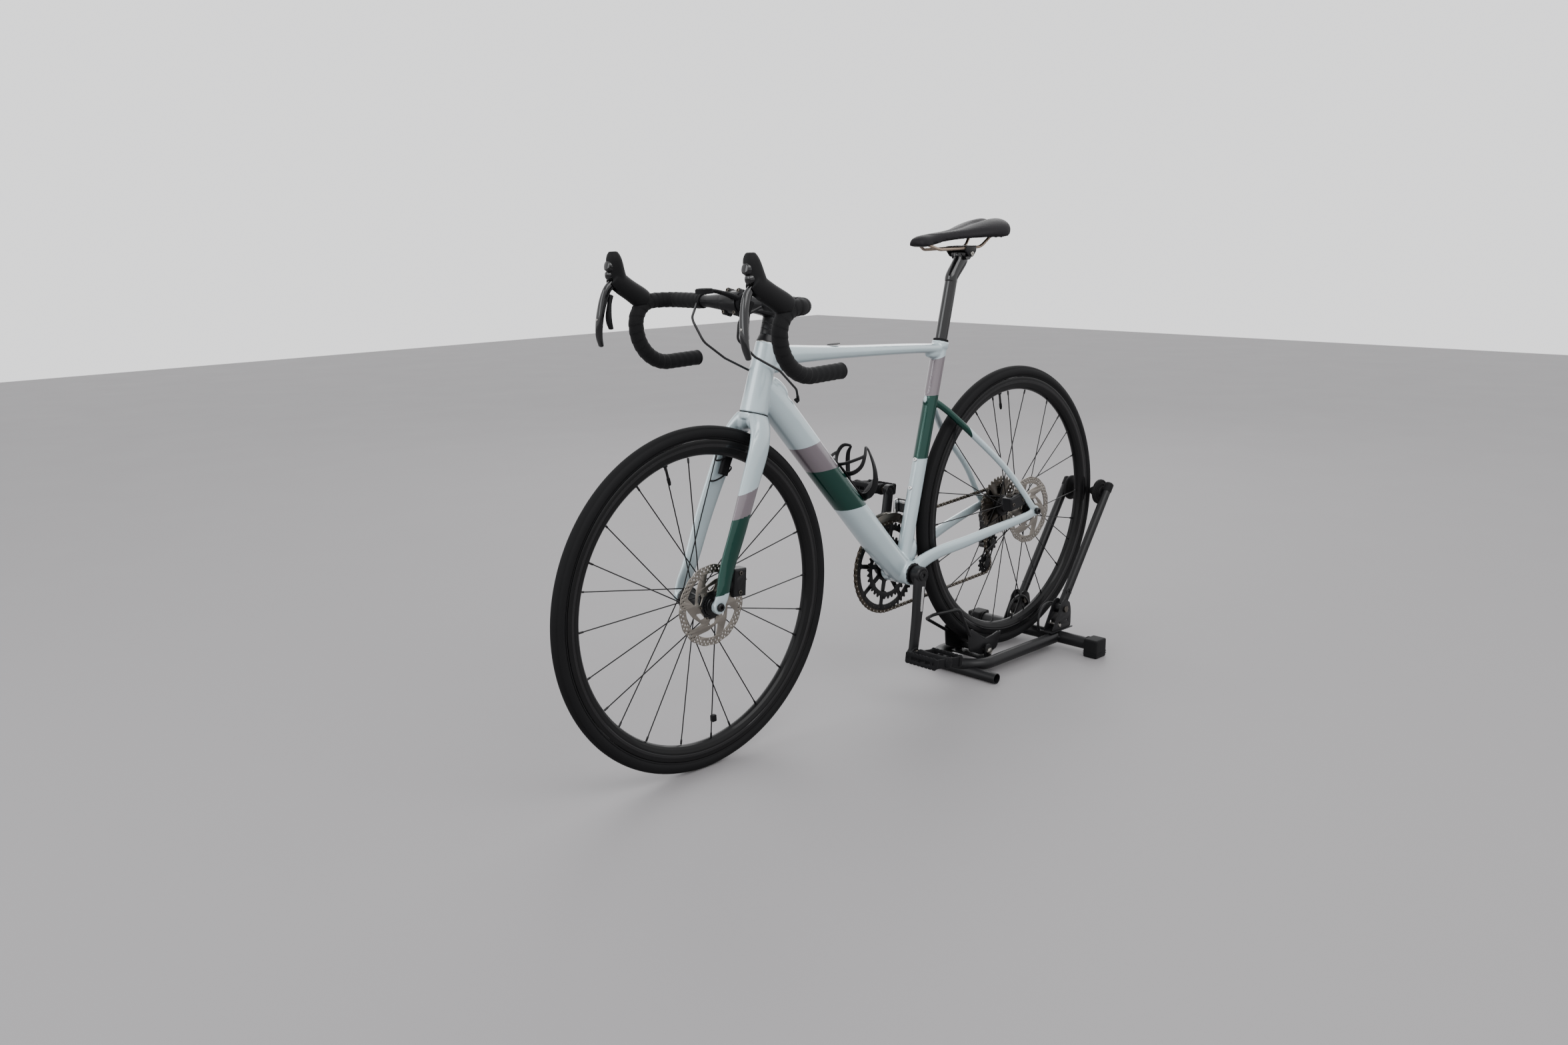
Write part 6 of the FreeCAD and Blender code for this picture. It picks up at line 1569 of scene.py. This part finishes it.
def strap(side, stops, thick=2.2, count=16, per=8):
    """A flat curved arm through (along, turn, radius, half width) stops, on one side of the cage."""
    rows = curve_points([(along, turn * side, radius, half) for along, turn, radius, half in stops], per)
    middles = [on_bottle(*row[:3]) for row in rows]
    vertices = []
    total = len(rows)
    for index, (point, outward) in enumerate(middles):
        ahead = (middles[min(index + 1, total - 1)][0] - middles[max(index - 1, 0)][0]).normalized()
        outward = (outward - ahead * outward.dot(ahead)).normalized()
        across = ahead.cross(outward)
        vertices.extend(squared_oval(point, across, outward, rows[index][3], thick, 0.7, count))
    return vertices, skin_faces(total, count)


def make_bottle_cage():
    """A moulded cage: a slotted spine on the down tube, curved arms both sides, and a toe."""
    group = Build()
    base = CAGE_START + CAGE_OUT * 34.6 * MM
    half = [(-7, -10), (20, -11), (34, -7), (66, -7), (82, -11), (112, -8), (131, -3)]
    spine = rounded(half + [(along, -across) for along, across in reversed(half)], 6)
    slots = [ring(3.4, 20, (along, 0)) for along in BOLT_PLACES]
    slots.append(rounded([(38, -3.4), (64, -3.4), (64, 3.4), (38, 3.4)], 3))
    group.add(plate([spine] + slots, 3.2, base, CAGE_ALONG, LEFT, 0.8), "satin_black")
    for along in BOLT_PLACES:
        place = base + CAGE_ALONG * along * MM
        group.add(pin(place, CAGE_OUT, 5, -6, -1.6, 28, 0.4), "satin_black")
        group.add(hexagon(place + CAGE_OUT * 1.4 * MM, CAGE_OUT, 4.4, 1.6, 2.6), "silver")
    for side in (1, -1):
        for stops in CAGE_ARMS:
            group.add(strap(side, stops), "satin_black")
    toe = base + CAGE_ALONG * -6.2 * MM + CAGE_OUT * 30 * MM
    foot = rounded([(-31, -10), (22, -8), (31, -4), (31, 4), (22, 8), (-31, 10)], 5)
    group.add(plate([foot], 3.2, toe, CAGE_OUT, LEFT, 0.8), "satin_black")
    group.piece("bottle_cage", "bike_frame", "black_plastic", ["bottle_cage"])


# ---------------------------------------------------------------- stand
CROSS_X, TUBE_Z, LOOP_RADIUS = -120, 28, 14
RAIL_Y, FOOT_Y = 70, 178
CRADLE = (132, 0, 44)
ARM_Y = 62
ARM_PIVOT = (-141, 0, 95)
ARM_TOP = (-340, 0, 378)
WORLD_X, WORLD_UP = Vector((1, 0, 0)), Vector((0, 0, 1))


def make_stand_base():
    """Welded tubes: the cross tube, the long loop, the low front tube, and the cradle's uprights."""
    group = Build()
    group.add(sleeve(stand(CROSS_X, 0, TUBE_Z), LEFT, 12.4, 15, -186, 186, 56, 0.6), "powder")
    ends = ((CROSS_X, RAIL_Y), (212, RAIL_Y), (212, -RAIL_Y), (CROSS_X, -RAIL_Y))
    loop = bent([stand(x, y, TUBE_Z) for x, y in ends], (55, 55), 5)
    group.add(tube(loop, LOOP_RADIUS, 36), "powder")
    group.add(sleeve(stand(206, 0, 12.5), LEFT, 10.6, 12.5, -127, 127), "powder")
    group.add(brick(stand(133, 0, 26.5), (30, 138, 5), WORLD_X, WORLD_UP, 1.4), "powder")
    for side in (1, -1):
        post = rounded([(-11, -18), (11, -18), (11, 8), (8, 16), (-8, 16), (-11, 8)], 6)
        middle = stand(CRADLE[0], side * 44, CRADLE[2])
        group.add(plate([post, ring(5.2, 24)], 4.8, middle, WORLD_X, WORLD_UP, 0.6), "powder")
        weld = bent([stand(-107, side * 56, 30), stand(-106, side * 70, 42), stand(-107, side * 84, 30)],
                    (8,), 2)
        group.add(tube(weld, 2.6, 10), "powder")
    group.piece("stand_base", "stand_base", "stand_paint", ["stand_base"])


def make_feet():
    """Rubber blocks pressed over the cross tube's ends, with a moulded collar and grooves."""
    group = Build()
    for side in (1, -1):
        group.add(brick(stand(CROSS_X, side * FOOT_Y, 23), (44, 38, 46), WORLD_X, WORLD_UP, 5, 4), "rubber")
        collar = side * 158
        place = stand(CROSS_X, 0, TUBE_Z)
        group.add(sleeve(place, LEFT, 15.2, 18.4, collar - 2, collar + 2, 48, 1.2), "rubber")
        for z in (9, 14):
            groove = brick(stand(CROSS_X, side * FOOT_Y, z), (44.8, 38.8, 1.4), WORLD_X, WORLD_UP, 0.5)
            group.add(groove, "matt_black")
    group.piece("stand_feet", "stand_base", "stand_rubber", ["stand_feet"])


def make_brackets():
    """Pressed steel cheeks that the arms fold between, with pivots, bolts and wire loops."""
    group = Build()
    outline = [(-25, -49), (53, -49, 6), (48, -40, 10), (23, 2, 12), (20, 12, 10), (8, 22.6, 8),
               (-6, 22.9, 8), (-19, 14, 10), (-23, 2, 10), (-25, -12, 6)]
    cheek = rounded(outline, 8)
    holes = [ring(5.2, 24), ring(4.4, 20, (24, -32)), ring(3, 16, (-10, -30))]
    for side in (1, -1):
        for y in (49.5, 74.5):
            middle = stand(ARM_PIVOT[0], side * y, ARM_PIVOT[2])
            group.add(plate([cheek] + holes, 3, middle, WORLD_X, WORLD_UP, 0.5), "powder")
        group.add(brick(stand(-126, side * ARM_Y, 44.7), (92, 34, 3), WORLD_X, WORLD_UP, 1), "powder")
        pivot_place = stand(ARM_PIVOT[0], side * ARM_Y, ARM_PIVOT[2])
        bolt = [(0, -17, 0), (8.4, -17), (8.4, -14.2), (5, -14.2, 0), (5, 14.2, 0), (8.4, 14.2), (8.4, 18),
                (0, 18, 0)]
        group.add(turned(bolt, pivot_place, LEFT, 6, False, 0.5), "dark_steel")
        group.add(pin(stand(-118, side * ARM_Y, 58), LEFT, 4, -16, 16, 20), "steel")
        loop = [stand(-112 + 42 * math.cos(math.radians(a)), side * 45, 70 + 42 * math.sin(math.radians(a)))
                for a in range(-30, 181, 7)]
        group.add(tube(loop, 3.2, 16), "powder")
        group.add(tube([loop[-1], stand(-154, side * 49, 66)], 3.2, 16), "powder")
        group.add(tube([loop[0], stand(-78, side * 49, 47)], 3.2, 16), "powder")
    group.piece("stand_brackets", "stand_base", "stand_paint", ["stand_brackets"])


def make_arms():
    """Folding arms with rubber end caps; each carries a cone for the tyre, the left one a wire hook."""
    reach = stand(*ARM_TOP) - stand(*ARM_PIVOT)
    run, length = reach.normalized(), reach.length / MM
    across = run.cross(LEFT)
    for side, word in SIDES:
        base = stand(ARM_PIVOT[0], side * ARM_Y, ARM_PIVOT[2])
        group = Build().add(pin(base, run, 10.5, 9, length, 44, 0.6), "powder")
        group.add(sleeve(base, LEFT, 5.4, 12.4, -10.4, 10.4, 48, 1), "powder")
        cap = [(10.6, length - 16), (11.5, length - 16), (11.5, length + 5), (8, length + 8),
               (0, length + 8, 0), (0, length, 0)]
        group.add(turned(cap, base, run, 44, False, 1.6), "rubber")
        group.add(sleeve(base, run, 10.5, 11.1, 44, 47, 40, 0.3), "powder")
        group.piece(f"stand_arm_{word}", f"stand_arm_{word}", "stand_paint", [f"stand_arm_{word}"])
        pad_place = Vector((base.x, 0, base.z)) + run * (length - 19) * MM
        outline = [(0, 14.5, 0), (6, 14.5, 1.5), (8.6, 17.5, 2), (12, 24, 3), (16, 30, 3), (25, 36.6, 2),
                   (31, 39, 1.2), (32, 42, 1.4), (31.4, 46, 1.2), (14, 48.2, 2), (12, 50.6, 0.4),
                   (0, 50.6, 0)]
        group = Build().add(turned(sided(side, outline), pad_place, LEFT, 72, False, 1), "rubber")
        for radius, y in ((28, 47.3), (20, 48.1)):
            rib = sleeve(pad_place, LEFT, radius - 1, radius + 1, side * (y - 1), side * (y + 0.5), 64, 0.3)
            group.add(rib, "rubber")
        group.add(pin(pad_place, LEFT, 9, side * 48, side * 50.4, 32), "steel")
        group.piece(f"stand_pad_{word}", f"stand_arm_{word}", "stand_rubber", [f"stand_pad_{word}"])
    hook_base = stand(ARM_PIVOT[0], ARM_Y, ARM_PIVOT[2]) + run * 46 * MM
    bends = ((9, 0, 0), (13, 9, 0), (13, 19, 4), (13, 23, -3), (13, 19, -10), (13, 15, -8))
    hook = [hook_base + (LEFT * y - across * away + run * up) * MM for y, away, up in bends]
    line = [Vector(row) for row in curve_points(hook, 6)]
    Build().add(tube(line, 1.4, 12), "powder").piece("arm_hook", "stand_arm_left", "stand_paint")


def make_cradle():
    """V-topped cheeks on a pivot tube with lock nuts, and the wire hoop that holds the tyre's front."""
    group = Build()
    corners = [(72, 76, 4), (84, 80, 4), (106, 75, 6), (131, 71, 8), (182, 106, 4), (196, 106, 4),
               (192, 56, 10), (150, 38, 8), (112, 34, 8), (88, 42, 8)]
    centre = stand(*CRADLE)
    cheek = rounded([(x - CRADLE[0], z - CRADLE[2], bend) for x, z, bend in corners], 5)
    for side in (1, -1):
        group.add(plate([cheek, ring(5.2, 24)], 4, centre + LEFT * side * 35 * MM, WORLD_X, WORLD_UP, 0.7),
                  "powder")
        for lip in (((72, 77), (131, 71)), ((134, 73), (190, 107))):
            group.add(tube([stand(x, side * 34.6, z) for x, z in lip], 2.6, 12), "powder")
        group.add(sleeve(centre, LEFT, 5, 8.6, side * 46.6, side * 51, 6), "steel")
        group.add(sleeve(centre, LEFT, 5, 6.6, side * 51, side * 53, 24, 0.4), "steel")
    route = [stand(190, 35, 92), stand(236, 38, 168), stand(286, 4, 160), stand(262, -38, 136),
             stand(190, -35, 92)]
    group.add(tube(bent(route, (12, 16, 12), 2.5), 4, 20), "powder")
    group.add(pin(centre, LEFT, 8, -35, 35, 36), "powder")
    group.add(pin(centre, LEFT, 4.9, -52.6, 52.6, 24, 0.6), "steel")
    group.piece("stand_cradle", "stand_cradle", "stand_paint", ["stand_cradle"])


def make_stand():
    make_stand_base()
    make_feet()
    make_brackets()
    make_arms()
    make_cradle()


MATERIALS = make_materials()
make_camera()
make_studio()
make_wheels()
make_frame()
make_fork()
make_bearings()
make_cockpit()
make_seat()
for caliper in CALIPERS:
    make_caliper(*caliper)
make_drivetrain()
make_bottle_cage()
make_stand()
